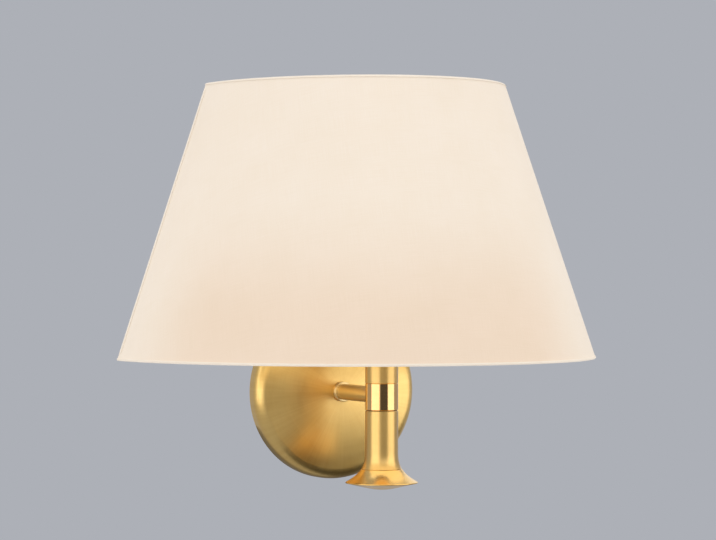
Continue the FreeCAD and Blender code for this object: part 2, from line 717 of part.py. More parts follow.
def upper_column():
    chamfer = TURNED_CHAMFER
    return turned(
        (UPPER_BORE_R, HUB_TOP), (COLUMN_R - chamfer, HUB_TOP), (COLUMN_R, HUB_TOP + chamfer),
        (COLUMN_R, UPPER_TOP - chamfer), (COLUMN_R - chamfer, UPPER_TOP), (UPPER_BORE_R, UPPER_TOP))


def nipple():
    return tube_z(NIPPLE_R, NIPPLE_BORE_R, HUB_TOP - HUB_END_WALL, NIPPLE_TOP)


def column_cap():
    """Brass washer with a round edge that closes the column under the lamp holder."""
    bore = NIPPLE_R + THREAD_GAP
    edge = COLUMN_CAP_T / 2
    return turned(
        (bore, UPPER_TOP), (COLUMN_CAP_R - edge, UPPER_TOP),
        ("arc", (COLUMN_CAP_R, UPPER_TOP + edge), (COLUMN_CAP_R - edge, HOLDER_Z)), (bore, HOLDER_Z))


# ---- lamp holder -----------------------------------------------------------------------------
def holder_cap():
    """Lower shell of the lamp holder, screwed on the nipple."""
    wall_r = HOLDER_R - HOLDER_WALL
    knee = HOLDER_Z + HOLDER_FOOT_H
    middle = (HOLDER_R - ROUND_SAG * (HOLDER_R - HOLDER_FOOT_R), HOLDER_Z + ROUND_SAG * HOLDER_FOOT_H)
    return turned(
        (NIPPLE_R + THREAD_GAP, HOLDER_Z), (HOLDER_FOOT_R, HOLDER_Z), ("arc", middle, (HOLDER_R, knee)),
        (HOLDER_R, HOLDER_SPLIT), (wall_r, HOLDER_SPLIT), (wall_r, knee),
        (HOLDER_FOOT_R - HOLDER_WALL, NIPPLE_NUT_Z), (NIPPLE_R + THREAD_GAP, NIPPLE_NUT_Z))


def nipple_nut():
    return at_column(nut(NIPPLE_R + THREAD_GAP), NIPPLE_NUT_Z)


def insert_r():
    return HOLDER_R - HOLDER_WALL - SEAT_GAP


def holder_pole(side, radius, low, high):
    return Part.makeCylinder(radius, high - low, V(side * HOLDER_POLE_X, COLUMN_Y, low))


def holder_insert():
    """Ceramic disc that carries the contacts and the two terminals."""
    disc = Part.makeCylinder(insert_r(), INSERT_T, V(0, COLUMN_Y, INSERT_BOTTOM))
    for side in (-1, 1):
        disc = disc.cut(
            holder_pole(side, LEAD_R + THREAD_GAP, INSERT_BOTTOM, INSERT_BOTTOM + INSERT_HOLE_DEPTH))
        disc = disc.cut(terminal_hole(side, CLAMP_SCREW_R + THREAD_GAP))
    return disc


def terminal_hole(side, radius):
    """Level hole from the insert's edge to a terminal."""
    start = V(side * (HOLDER_POLE_X + LEAD_R + SEAT_GAP), COLUMN_Y, INSERT_BOTTOM + TERMINAL_HOLE_RISE)
    return Part.makeCylinder(radius, insert_r() - abs(start.x), start, X * side)


def holder_screws():
    return [terminal_hole(side, CLAMP_SCREW_R) for side in (-1, 1)]


def holder_contacts():
    """Centre tongue, bent up from the insert, and side tongue along the bore."""
    half = TONGUE_W / 2
    top, under = TONGUE_RISE, TONGUE_RISE - TONGUE_T
    run = [
        V(-TONGUE_FOOT_X, 0, 0), V(-TONGUE_FOOT_X, 0, TONGUE_T), V(-TONGUE_KNEE_X, 0, top),
        V(TONGUE_TIP_X, 0, top), V(TONGUE_TIP_X, 0, under), V(-TONGUE_KNEE_X + TONGUE_SLANT, 0, under),
        V(-TONGUE_FOOT_X + 2 * TONGUE_T, 0, TONGUE_T), V(-TONGUE_FOOT_X + 2 * TONGUE_T, 0, 0)]
    centre = Part.Face(Part.makePolygon(run + run[:1])).extrude(Y * TONGUE_W)
    centre.translate(V(0, COLUMN_Y - half, INSERT_TOP))
    outer_r = BARREL_BORE_R - THREAD_GAP
    ring = tube_z(outer_r, outer_r - TONGUE_T, INSERT_TOP, INSERT_TOP + SIDE_TONGUE_H)
    side = ring.common(box((0, COLUMN_Y - half, INSERT_TOP), (HOLDER_R, COLUMN_Y + half, BARREL_TOP)))
    return [centre, side]


def ridges(radius, depth, pitch, low, high):
    """Outline points of evenly spaced round-topped thread ridges, going up."""
    count = int((high - low) / pitch)
    points = []
    for i in range(count):
        z = low + i * pitch
        points.append((radius - depth, z))
        points.append(("arc", (radius, z + pitch / 2), (radius - depth, z + pitch)))
    return points


def holder_barrel():
    """Upper shell of the lamp holder: shoulder for the shade, outside thread for the clamp ring."""
    skirt_top = HOLDER_SPLIT + BARREL_SKIRT_H
    thread_low, thread_high = FLANGE_TOP + BARREL_PLAIN, BARREL_TOP - BARREL_PLAIN
    ridge_points = ridges(BARREL_R, BARREL_THREAD, BARREL_PITCH, thread_low, thread_high)
    core_r = BARREL_R - BARREL_THREAD
    return turned(
        (HOLDER_R - HOLDER_WALL, HOLDER_SPLIT), (HOLDER_R, HOLDER_SPLIT), (HOLDER_R, skirt_top),
        (FLANGE_R, skirt_top), (FLANGE_R, FLANGE_TOP), (core_r, FLANGE_TOP), *ridge_points,
        (core_r, BARREL_TOP), (BARREL_BORE_R, BARREL_TOP), (BARREL_BORE_R, INSERT_TOP + SEAT_GAP),
        (HOLDER_R - HOLDER_WALL, INSERT_TOP + SEAT_GAP))


def shade_clamp_ring():
    """Ribbed ring that holds the shade's fitter down on the shoulder."""
    ring = tube_z(CLAMP_RING_R, BARREL_R + THREAD_GAP, CLAMP_RING_Z, CLAMP_RING_Z + CLAMP_RING_H)
    for i in range(CLAMP_RING_RIBS):
        angle = 2 * math.pi * i / CLAMP_RING_RIBS
        place = V(CLAMP_RING_R * math.cos(angle), COLUMN_Y + CLAMP_RING_R * math.sin(angle), CLAMP_RING_Z)
        ring = ring.cut(Part.makeCylinder(CLAMP_RING_RIB_R, CLAMP_RING_H, place))
    return ring


# ---- bulb ------------------------------------------------------------------------------------
def bulb_contact():
    top = (SOLDER_R, BULB_Z + BULB_CONTACT_H)
    return turned((0, top[1]), top, cap_arc(top, BULB_Z))


def bulb_insulator():
    low = BULB_Z + BULB_CONTACT_H
    return turned(
        (0, low), (BULB_CONTACT_R, low), (BULB_CAP_R - BULB_FLOOR_INSET, BULB_CAP_Z), (0, BULB_CAP_Z))


def bulb_cap():
    """Screw shell, with round thread ridges and a closed floor round the insulator."""
    core_r = BULB_CAP_R - BULB_THREAD
    slope_top = BULB_CAP_Z + BULB_FLOOR_H
    ridge_points = ridges(BULB_CAP_R, BULB_THREAD, BULB_PITCH, slope_top, BULB_CAP_TOP - BULB_SKIRT_H)
    inner_r = core_r - BULB_CAP_T
    inner_floor = BULB_CAP_Z + BULB_CAP_T
    return turned(
        (0, BULB_CAP_Z), (BULB_CAP_R - BULB_FLOOR_INSET, BULB_CAP_Z), *ridge_points,
        (core_r, BULB_CAP_TOP), (inner_r, BULB_CAP_TOP), (inner_r, slope_top),
        (inner_r - BULB_FLOOR_H, inner_floor), (0, inner_floor))


def glass_outline(inset):
    """Outline of the pear, from neck to crown, set in by inset."""
    top = BULB_Z + BULB_LENGTH - inset
    centre_z = BULB_Z + BULB_LENGTH - BULB_R
    radius = BULB_R - inset
    neck_r = BULB_NECK_R - inset
    neck_low, neck_high = BULB_CAP_TOP - BULB_NECK_IN_CAP, BULB_CAP_TOP + BULB_NECK_PROUD
    widening, rise = radius - neck_r, centre_z - neck_high
    blend = [(neck_r, neck_high)]
    blend += [(neck_r + out * widening, neck_high + up * rise) for out, up in PEAR_BLEND]
    blend.append((radius, centre_z))
    return neck_low, blend, top


def bulb_glass():
    low, outer, outer_top = glass_outline(0.0)
    _, inner, inner_top = glass_outline(BULB_GLASS_T)
    crown = cap_arc(inner[-1], inner_top)
    return turned(
        (inner[0][0], low), (outer[0][0], low), outer[0], ("curve", outer[1:]),
        cap_arc(outer[-1], outer_top), (0, inner_top), ("arc", crown[1], inner[-1]),
        ("curve", inner[-2::-1]))


def bulb_stem():
    """Glass stem that carries the filaments, flared where it is sealed to the neck."""
    low, high = BULB_CAP_TOP, BULB_CAP_TOP + STEM_TOP
    flare = BULB_NECK_R - BULB_GLASS_T - SEAT_GAP
    shoulder = (STEM_R, high - STEM_R)
    return turned(
        (0, low), (flare, low), ("curve", [(STEM_KNEE_R, low + STEM_KNEE_H), (STEM_R, low + STEM_FLARE_H)]),
        shoulder, cap_arc(shoulder, high))


def bulb_filaments():
    """Upright filaments round the stem, each on a bent support wire at both ends."""
    solids = []
    high = BULB_CAP_TOP + STEM_TOP + FILAMENT_RISE
    low = high - FILAMENT_LENGTH
    for i in range(FILAMENTS):
        angle = 2 * math.pi * (i + 0.5) / FILAMENTS
        out = V(math.cos(angle), math.sin(angle), 0)
        axis = V(0, COLUMN_Y, 0)
        top = axis + out * FILAMENT_CIRCLE_R + Z * high
        bottom = axis + out * (FILAMENT_CIRCLE_R + FILAMENT_LEAN) + Z * low
        strip = straight_rod(bottom, top, FILAMENT_R)
        upper_root = axis + out * (STEM_R - SUPPORT_DEPTH) + Z * (high - UPPER_SUPPORT_DROP)
        lower_root = axis + out * (STEM_R - WELD) + Z * (low - LOWER_SUPPORT_DROP)
        upper = straight_rod(upper_root, top - Z * FILAMENT_R, SUPPORT_R)
        lower = straight_rod(lower_root, bottom, SUPPORT_R)
        solids.append(strip.fuse([upper, lower]))
    return solids


# ---- half shade ------------------------------------------------------------------------------
def shade_size(z):
    """Half width and depth of the fabric's outside at height z."""
    share = (z - SHADE_BOTTOM_Z) / SHADE_HEIGHT
    return (BOTTOM_HALF_W + (TOP_HALF_W - BOTTOM_HALF_W) * share,
            BOTTOM_DEPTH + (TOP_DEPTH - BOTTOM_DEPTH) * share)


def half_ellipse(z, inset, back=0.0):
    """Two quarter arcs of the half oval at height z, set in by inset. They start back in front of
    the cut line."""
    half_w, depth = shade_size(z)
    half_w, depth = half_w - inset, depth - inset
    start = math.asin(back / depth)
    if half_w > depth:
        ellipse = Part.Ellipse(V(0, -SHADE_GAP, z), half_w, depth)
        turn = 0.0
    else:
        ellipse = Part.Ellipse(V(0, -SHADE_GAP - depth, z), V(half_w, -SHADE_GAP, z), V(0, -SHADE_GAP, z))
        turn = math.pi / 2
    quarter = math.pi / 2
    arcs = []
    for first, last in ((start, quarter), (quarter, math.pi - start)):
        angles = (-last, -first)
        arcs.append(Part.ArcOfEllipse(ellipse, angles[0] + turn, angles[1] + turn).toShape())
    return arcs


def band(low, high, outer, inner, back=0.0):
    """Tapered half shell between two heights and two insets from the fabric's outside."""
    rings = []
    for z in (low, high):
        outside, inside = half_ellipse(z, outer, back), half_ellipse(z, inner, back)
        ends = []
        for i, j in ((0, 0), (1, 1)):
            far = outside[i].Vertexes + inside[j].Vertexes
            back_ends = sorted(far, key=lambda v: -v.Y)[:2]
            ends.append(Part.LineSegment(back_ends[0].Point, back_ends[1].Point).toShape())
        rings.append(Part.Wire(Part.__sortEdges__(outside + inside + ends)))
    return Part.makeLoft(rings, True, True)


def shade_fabric():
    return band(SHADE_BOTTOM_Z + HEM_T, SHADE_TOP_Z - HEM_T, 0.0, FABRIC_T)


def shade_liner():
    return band(SHADE_BOTTOM_Z + HEM_T, SHADE_TOP_Z - HEM_T, LINER_OUT, LINER_IN)


def ring_hem(edge_z, inward):
    """Turned edge at the bottom (inward = 1) or the top (inward = -1): outer lip, end and inner lip."""
    end = edge_z + inward * HEM_T
    lip = edge_z + inward * HEM_LIP
    inner_lip = edge_z + inward * HEM_INNER

    def span(a, b, outer, inner, back=0.0):
        return band(min(a, b), max(a, b), outer, inner, back)

    corner = 2 * (HEM_T + SEAT_GAP + WIRE_R) + WIRE_R
    parts = [span(end, lip, -HEM_T, -THREAD_GAP), span(edge_z, end, -HEM_T, HEM_POCKET + HEM_T)]
    parts.append(span(end, inner_lip, HEM_POCKET, HEM_POCKET + HEM_T, corner))
    hem = parts[0].fuse(parts[1:])
    return hem.removeSplitter()


def back_hems():
    """Turned edges down the two cut sides, each round its upright."""
    low, high = SHADE_BOTTOM_Z + HEM_INNER + SEAT_GAP, SHADE_TOP_Z - HEM_INNER - SEAT_GAP
    hems = []
    for side in (-1, 1):
        rings = []
        for z in (low, high):
            edge = shade_size(z)[0]
            out_x, in_x = edge + HEM_T, edge - HEM_POCKET - HEM_T
            skin_x, pocket_x = edge + THREAD_GAP, edge - HEM_POCKET
            back, web, deep = -SHADE_GAP + HEM_T, -SHADE_GAP, -SHADE_GAP - BACK_HEM_W
            corners = [(out_x, deep), (out_x, back), (in_x, back), (in_x, deep), (pocket_x, deep),
                       (pocket_x, web), (skin_x, web), (skin_x, deep)]
            points = [V(side * x, y, z) for x, y in corners]
            rings.append(Part.makePolygon(points + points[:1]))
        hems.append(Part.makeLoft(rings, True, True))
    return hems


def upright_x(z):
    return shade_size(z)[0] - WIRE_INSET


def back_uprights():
    low, high = BOTTOM_WIRE_Z - UPRIGHT_PROUD, TOP_WIRE_Z + UPRIGHT_PROUD
    rods = []
    for side in (-1, 1):
        foot = V(side * upright_x(low), UPRIGHT_Y, low)
        rods.append(straight_rod(foot, V(side * upright_x(high), UPRIGHT_Y, high), WIRE_R))
    return rods


def back_bars():
    bars = []
    for z in (BOTTOM_WIRE_Z, TOP_WIRE_Z):
        reach = upright_x(z) - WIRE_R + WELD
        bars.append(straight_rod(V(-reach, UPRIGHT_Y, z), V(reach, UPRIGHT_Y, z), WIRE_R))
    return bars


def edge_wire(z):
    """Round wire along the half oval, welded to the uprights at its ends."""
    back = -UPRIGHT_Y - SHADE_GAP + WIRE_R - WELD
    arcs = half_ellipse(z, WIRE_INSET, back)
    path = Part.Wire(Part.__sortEdges__(arcs))
    first = path.OrderedEdges[0]
    start = first.valueAt(first.FirstParameter)
    circle = Part.Circle(start, first.tangentAt(first.FirstParameter), WIRE_R).toShape()
    return path.makePipeShell([Part.Wire(circle)], True, False)


def wire_distance(angle):
    """Distance from the column's axis to the bottom wire's centre line, towards an angle."""
    half_w, depth = shade_size(BOTTOM_WIRE_Z)
    half_w, depth = half_w - WIRE_INSET, depth - WIRE_INSET
    dx, dy = math.cos(angle), math.sin(angle)
    ahead = COLUMN_Y + SHADE_GAP
    a = (dx / half_w) ** 2 + (dy / depth) ** 2
    b = 2 * ahead * dy / depth ** 2
    c = (ahead / depth) ** 2 - 1
    return (-b + math.sqrt(b * b - 4 * a * c)) / (2 * a)


def fitter_bore_r():
    return BARREL_R + MOVING_GAP


def shade_fitter():
    """Flat ring on the holder's shoulder, with three wires welded under it that carry the shade."""
    frame = tube_z(FITTER_RING_R, fitter_bore_r(), FITTER_Z, FITTER_Z + FITTER_RING_T)
    level = FITTER_Z - FITTER_WIRE_R + WELD
    near = FLANGE_R + 2 * MOVING_GAP
    for degrees in FITTER_ANGLES:
        angle = math.radians(degrees)
        out = V(math.cos(angle), math.sin(angle), 0)
        axis = V(0, COLUMN_Y, 0)
        far = wire_distance(angle) - WIRE_R + WELD
        points = [
            axis + out * near + Z * level, axis + out * (near + FITTER_LEVEL_RUN) + Z * level,
            axis + out * (far - FITTER_LEVEL_RUN) + Z * BOTTOM_WIRE_Z, axis + out * far + Z * BOTTOM_WIRE_Z]
        frame = frame.fuse(rod(points, FITTER_WIRE_R, FITTER_BEND_R))
    return frame


def hem_notches():
    """Slits in the bottom hem that let the fitter's wires through."""
    notches = []
    half = FITTER_WIRE_R + MOVING_GAP
    for degrees in FITTER_ANGLES:
        far = wire_distance(math.radians(degrees))
        notch = box((far - NOTCH_REACH, -half, SHADE_BOTTOM_Z + HEM_T),
                    (far, half, SHADE_BOTTOM_Z + HEM_T + NOTCH_H))
        notch.rotate(V(0, 0, 0), Z, degrees)
        notch.translate(V(0, COLUMN_Y, 0))
        notches.append(notch)
    return notches


def bottom_hem():
    return ring_hem(SHADE_BOTTOM_Z, 1).cut(hem_notches())


def top_hem():
    return ring_hem(SHADE_TOP_Z, -1)


# ---- write one file for each piece -----------------------------------------------------------
def main():
    os.makedirs("parts", exist_ok=True)
    save("wall_plate", wall_plate())
    save("wall_bracket", wall_bracket())
    save("plate_grub_screws", *grub_screws())
    save("cable_grommet", cable_grommet())
    save("terminal_block", terminal_block())
    save("terminal_clamps", *terminal_clamps())
    save("terminal_screws", *terminal_screws())
    save("block_screw", block_screw())
    save("earth_screw", earth_screw())
    save("earth_tag", earth_tag())
    save("earth_lead", earth_lead())
    save("live_lead", current_lead(-1))
    save("neutral_lead", current_lead(1))
    save("arm_tube", arm_tube())
    save("arm_collar", arm_collar())
    save("arm_washer", arm_washer())
    save("arm_lock_nut", arm_lock_nut())
    save("hub", hub())
    save("spacer_washer", spacer_washer())
    save("lower_column", lower_column())
    save("foot", foot())
    save("tie_rod", tie_rod())
    save("upper_column", upper_column())
    save("nipple", nipple())
    save("column_cap", column_cap())
    save("nipple_nut", nipple_nut())
    save("holder_cap", holder_cap())
    save("holder_insert", holder_insert())
    save("holder_contacts", *holder_contacts())
    save("holder_screws", *holder_screws())
    save("holder_barrel", holder_barrel())
    save("shade_clamp_ring", shade_clamp_ring())
    save("bulb_contact", bulb_contact())
    save("bulb_insulator", bulb_insulator())
    save("bulb_cap", bulb_cap())
    save("bulb_glass", bulb_glass())
    save("bulb_stem", bulb_stem())
    save("bulb_filaments", *bulb_filaments())
    save("shade_fabric", shade_fabric())
    save("shade_liner", shade_liner())
    save("bottom_hem", bottom_hem())
    save("top_hem", top_hem())
    save("back_hems", *back_hems())
    save("back_uprights", *back_uprights())
    save("back_bars", *back_bars())
    save("bottom_wire", edge_wire(BOTTOM_WIRE_Z))
    save("top_wire", edge_wire(TOP_WIRE_Z))
    save("shade_fitter", shade_fitter())


main()
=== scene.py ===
"""Looks of a wall light with a tapered fabric half shade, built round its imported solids.

Metres, in the solids' own frame: the wall is y = 0, the light stands out along -Y, +Z is up.
Sizes are written in millimetres and go through MM.
"""
import math

import bmesh
import bpy
from mathutils import Matrix, Vector, noise


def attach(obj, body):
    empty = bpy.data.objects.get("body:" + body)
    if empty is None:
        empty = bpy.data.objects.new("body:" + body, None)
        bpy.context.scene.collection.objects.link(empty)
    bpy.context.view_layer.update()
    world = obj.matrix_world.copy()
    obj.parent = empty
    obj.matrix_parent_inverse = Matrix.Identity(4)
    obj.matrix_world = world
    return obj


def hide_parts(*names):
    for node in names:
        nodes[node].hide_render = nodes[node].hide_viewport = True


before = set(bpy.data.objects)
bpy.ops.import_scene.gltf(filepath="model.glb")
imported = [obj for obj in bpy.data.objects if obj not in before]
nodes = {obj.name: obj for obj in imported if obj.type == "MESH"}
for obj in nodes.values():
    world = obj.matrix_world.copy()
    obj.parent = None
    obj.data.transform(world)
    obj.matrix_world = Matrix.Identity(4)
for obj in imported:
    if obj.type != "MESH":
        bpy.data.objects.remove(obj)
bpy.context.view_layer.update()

MM = 0.001

# ---- sizes shared with the solids, in mm ----------------------------------------------------
PLATE_R = 55.0
COLUMN_Y = -73.6               # the column's axis, and the wall plate's is x = z = 0
SHADE_LOW, SHADE_HIGH = 21.5, 189.7
SHADE_GAP = 22.7               # cut back edges to the wall
LOW_HALF_W, LOW_DEPTH = 151.6, 165.8
HIGH_HALF_W, HIGH_DEPTH = 93.7, 115.6
FABRIC_T = 0.5
FILM_INSET, FILM_T = 0.58, 0.6
HEM_T = 0.36
LOW_LIP, HIGH_LIP = 1.7, 1.25  # how far the rolled edges show outside
HEM_BACK = 4.6                 # how far they reach up inside
HEM_STEPS = 420
SLIT_BACK = 2.0                # the same where they are slit for a fitter wire
SLIT_INSET = 4.4               # the roll's inner side, where the slits are
SLIT_HALF = 0.012              # half a slit, in radians of the half oval's turn
EDGE_LIFT = 1.1                # the panel ends this far inside its rolled edges
WIRE_INSET, WIRE_R = 2.68, 1.3
WIRE_LOW, WIRE_HIGH = 23.4, 187.8
UPRIGHT_Y = -24.6              # middle of the frame's back uprights
BACK_STRIP_W = 5.0             # the turned side edge reaches this far forward inside
SIDE_LIP = 3.0                 # and this far outside, where it shows
SIDE_ENDS = 4.9                # it stops this far short of the shade's rims
SIDE_STEPS = 60
FITTER_TURNS = (-90.0, 14.0, 166.0)            # degrees from +X, seen from above
BEAD_R = 1.85                  # a weld bead
RING_BEAD_R, RING_BEAD_Z = 27.8, 59.8          # beads on the fitter's ring
LEAD_R, LEAD_BEND = 1.1, 5.0
EARTH_CORNERS = (              # from the tag's barrel to the saddle washer
    (-12.5, -13.6, -5.8), (-19.6, -13.6, -9.1), (-28.6, -8.1, -4.4), (-29.6, -2.6, -12.3),
    (-15.4, -2.6, -12.3))
FILAMENT_TOP, FILAMENT_LOW = 136.9, 104.9
FILAMENT_TOP_R, FILAMENT_LOW_R = 10.0, 13.0    # their ends, from the bulb's axis
FILAMENT_R, SUPPORT_R = 0.9, 0.4
SUPPORT_ENDS = (                # radius and height at the stem, then at a filament's end
    (2.0, FILAMENT_TOP - 4.0, FILAMENT_TOP_R, FILAMENT_TOP - FILAMENT_R),
    (3.8, FILAMENT_LOW - 3.0, FILAMENT_LOW_R, FILAMENT_LOW))

# ---- patterns -------------------------------------------------------------------------------
NOISE_RANGE = (0.3, 0.7)       # the values that a noise mostly keeps to
THREAD_WANDER = 1.6            # how far a thread strays, where pi is one thread
# Painted glint streaks, lighter in the brass's colour, round a turned piece:
PAINTED_GLINTS_ROUND = 22.0            # for each radian round a piece
PAINTED_GLINT_LENGTH = 40.0            # mm along the column, or out from the middle of a plate
# Painted shading: the cloth's ink is painted darker toward the middle of its lower edge, for the shade that
# falls there.
PAINTED_SHADING_MIDDLE = 0.115          # shares of the cut's angle, from the middle toward the left
PAINTED_SHADING_FULL, PAINTED_SHADING_ENDS = 0.21, 0.355         # and from there to either side
PAINTED_SHADING_LOW, PAINTED_SHADING_HIGH = 0.12, 0.60           # shares of the slant, up from the lower edge


# ---- the cloth, cut flat --------------------------------------------------------------------
def half_way_round(half_w, depth, steps=720):
    """Length of the half oval."""
    turns = [math.pi * i / steps for i in range(steps + 1)]
    points = [(half_w * math.cos(turn), depth * math.sin(turn)) for turn in turns]
    return sum(math.dist(a, b) for a, b in zip(points, points[1:]))


# The cloth is cut flat as a band of a circle, as for a cone of the same girth.
GIRTH_LOW = half_way_round(LOW_HALF_W, LOW_DEPTH)
GIRTH_HIGH = half_way_round(HIGH_HALF_W, HIGH_DEPTH)
SLANT = math.hypot(SHADE_HIGH - SHADE_LOW, (LOW_HALF_W - HIGH_HALF_W + LOW_DEPTH - HIGH_DEPTH) / 2)
CUT_ANGLE = (GIRTH_LOW - GIRTH_HIGH) / SLANT
CUT_R = GIRTH_LOW / CUT_ANGLE


# ---- small tools ----------------------------------------------------------------------------
def ink(code):
    """Linear colour of an sRGB hex value."""
    parts = [int(code[i:i + 2], 16) / 255 for i in (0, 2, 4)]
    return tuple(c / 12.92 if c <= 0.04045 else ((c + 0.055) / 1.055) ** 2.4 for c in parts) + (1.0,)


def put(tree, kind, inputs=None, **settings):
    """Adds one node: its settings, then its inputs, each a plain value, a node or a socket."""
    node = tree.nodes.new(kind)
    for name, value in settings.items():
        setattr(node, name, value)
    for key, value in (inputs or {}).items():
        if isinstance(value, bpy.types.Node):
            value = value.outputs[0]
        if isinstance(value, bpy.types.NodeSocket):
            tree.links.new(value, node.inputs[key])
        else:
            node.inputs[key].default_value = value
    return node


def new_finish(name, **fixed):
    """A material with one principled shader. What is the same all over is set on its sockets."""
    material = bpy.data.materials.new(name)
    material.use_nodes = True
    tree = material.node_tree
    tree.nodes.clear()
    shader = put(tree, "ShaderNodeBsdfPrincipled",
                 {key.replace("_", " "): value for key, value in fixed.items()})
    put(tree, "ShaderNodeOutputMaterial", {"Surface": shader})
    return material, tree, shader


def tone_of(tree, *patterns):
    """A tone, added up from patterns. Each comes with its share in the tone, and with the two
    values between which it fades in."""
    tone = None
    for pattern, share, (low, high) in patterns:
        part = put(tree, "ShaderNodeMapRange", {
            "Value": pattern, "From Min": low, "From Max": high, "To Max": share})
        tone = part if tone is None else put(tree, "ShaderNodeMath", {0: tone, 1: part}, operation="ADD")
    return tone


def dress(tree, shader, tone=None, inks=None, gloss=None, height=None, depth_mm=0.0):
    """What varies over a surface: its colour, between two inks or mixed colours by a tone from 0
    to 1, its roughness, between two values by a noise, and its relief, of a real depth in mm."""
    if inks:
        dark, light = (ink(colour) if isinstance(colour, str) else colour for colour in inks)
        colour = put(tree, "ShaderNodeMix", {0: tone, 6: dark, 7: light}, data_type="RGBA")
        tree.links.new(colour.outputs[2], shader.inputs["Base Color"])
    if gloss:
        pattern, smooth, dull = gloss
        rough = put(tree, "ShaderNodeMapRange", {
            "Value": pattern, "From Min": NOISE_RANGE[0], "From Max": NOISE_RANGE[1],
            "To Min": smooth, "To Max": dull})
        tree.links.new(rough.outputs[0], shader.inputs["Roughness"])
    bump = put(tree, "ShaderNodeBump", {"Height": height, "Distance": depth_mm * MM, "Strength": 1.0})
    tree.links.new(bump.outputs[0], shader.inputs["Normal"])


def grain(tree, size_mm, detail=3.0, place=None, stretch=(1, 1, 1), rough=0.55):
    """Noise whose lumps are about size_mm across, from Object coordinates unless a place is given."""
    place = place or put(tree, "ShaderNodeTexCoord").outputs["Object"]
    scale = tuple(1 / (size_mm * MM * share) for share in stretch)
    mapped = put(tree, "ShaderNodeMapping", {"Vector": place, "Scale": scale})
    return put(tree, "ShaderNodeTexNoise", {
        "Vector": mapped, "Scale": 1.0, "Detail": detail, "Roughness": rough}).outputs["Fac"]


def round_axis(tree, about):
    """Radius from the piece's own axis, its place along it and its turn, from Object coordinates."""
    place = put(tree, "ShaderNodeTexCoord").outputs["Object"]
    shift = (0, 0, 0) if about == "arm" else (0, -COLUMN_Y * MM, 0)
    place = put(tree, "ShaderNodeVectorMath", {0: place, 1: shift}, operation="ADD")
    split = put(tree, "ShaderNodeSeparateXYZ", {0: place})
    y, z = split.outputs[1], split.outputs[2]
    along, across = (y, z) if about == "arm" else (z, y)
    flat = put(tree, "ShaderNodeCombineXYZ", {0: split.outputs[0], 1: across})
    radius = put(tree, "ShaderNodeVectorMath", {0: flat}, operation="LENGTH").outputs["Value"]
    turn = put(tree, "ShaderNodeMath", {0: across, 1: split.outputs[0]}, operation="ARCTAN2")
    return radius, along, turn


def tool_marks(tree, about, pitch_mm, wander=0.6):
    """Fine rings left by a tool that follows a turned surface, pitch_mm apart."""
    radius, along, turn = round_axis(tree, about)
    run = put(tree, "ShaderNodeMath", {0: radius, 1: along}, operation="SUBTRACT")
    run = put(tree, "ShaderNodeMath", {0: run, 1: 1 / (pitch_mm * MM)}, operation="MULTIPLY")
    slow = put(tree, "ShaderNodeMath", {0: turn, 1: wander}, operation="MULTIPLY")
    place = put(tree, "ShaderNodeCombineXYZ", {0: run, 1: slow})
    return put(tree, "ShaderNodeTexNoise", {"Vector": place, "Scale": 1.0, "Detail": 2.0,
                                            "Roughness": 0.6}, noise_dimensions="2D").outputs["Fac"]


# ---- metals ---------------------------------------------------------------------------------
def satin_brass(name, about, axis, pitch_mm, marks_mm, dark, light, rough, stretch):
    """Lacquered brass, turned or spun and then brushed on the lathe. The rings are too fine to
    count, but they draw each reflection out across themselves into soft bands. Faint glint
    streaks that fan out from the middle are painted into its colour."""
    material, tree, shader = new_finish(name, Metallic=1.0, Anisotropic=stretch, Anisotropic_Rotation=0.25,
                                        Coat_Weight=0.6, Coat_Roughness=0.25)
    rings = tool_marks(tree, about, pitch_mm)
    broad = tool_marks(tree, about, 6 * pitch_mm, 1.3)
    cloud = grain(tree, 18.0)
    radius, along, turn = round_axis(tree, about)
    across = along if about == "column" else radius
    # Painted glint streaks: a lighter colour that fans out round the piece, mixed into its tone.
    fan = put(tree, "ShaderNodeCombineXYZ", {
        0: put(tree, "ShaderNodeMath", {0: turn, 1: PAINTED_GLINTS_ROUND}, operation="MULTIPLY"),
        1: put(tree, "ShaderNodeMath", {0: across, 1: 1 / (PAINTED_GLINT_LENGTH * MM)}, operation="MULTIPLY")})
    painted_glints = put(tree, "ShaderNodeTexNoise", {"Vector": fan, "Scale": 1.0, "Detail": 2.0},
                 noise_dimensions="2D").outputs["Fac"]
    tone = tone_of(tree, (cloud, 0.45, NOISE_RANGE), (broad, 0.2, (0.2, 0.8)), (painted_glints, 0.35, NOISE_RANGE))
    dress(tree, shader, tone, (dark, light), (rings, rough - 0.05, rough + 0.05), rings, marks_mm)
    tangent = put(tree, "ShaderNodeTangent", direction_type="RADIAL", axis=axis)
    tree.links.new(tangent.outputs[0], shader.inputs["Tangent"])
    return material


def mirror_brass(name, dark, light, rough):
    """Lacquered brass, buffed bright. It shows the room, softened by faint polishing haze."""
    material, tree, shader = new_finish(name, Metallic=1.0)
    cloud = grain(tree, 9.0)
    hairs = tool_marks(tree, "column", 0.35, 2.0)
    tone = tone_of(tree, (cloud, 1.0, NOISE_RANGE))
    dress(tree, shader, tone, (dark, light), (hairs, rough - 0.03, rough + 0.03), cloud, 0.02)
    return material


def plated(name, dark, light, rough, crystal_mm):
    """Electroplated steel or a pressed metal. A fine crystal haze breaks its shine."""
    material, tree, shader = new_finish(name, Metallic=1.0)
    haze = grain(tree, crystal_mm, 4.0)
    tone = tone_of(tree, (grain(tree, 6.0), 1.0, NOISE_RANGE))
    dress(tree, shader, tone, (dark, light), (haze, rough - 0.08, rough + 0.1), haze, 0.01)
    return material


# ---- plastics, ceramic, glass ---------------------------------------------------------------
def moulded(name, dark, light, rough, skin_mm, relief_mm, **fixed):
    """A moulded or coated surface: slow changes of tone, and a fine skin texture that breaks its gloss."""
    material, tree, shader = new_finish(name, **fixed)
    texture = grain(tree, skin_mm, 4.0)
    tone = tone_of(tree, (grain(tree, 14.0), 1.0, NOISE_RANGE))
    dress(tree, shader, tone, (dark, light), (texture, rough - 0.06, rough + 0.08), texture, relief_mm)
    return material


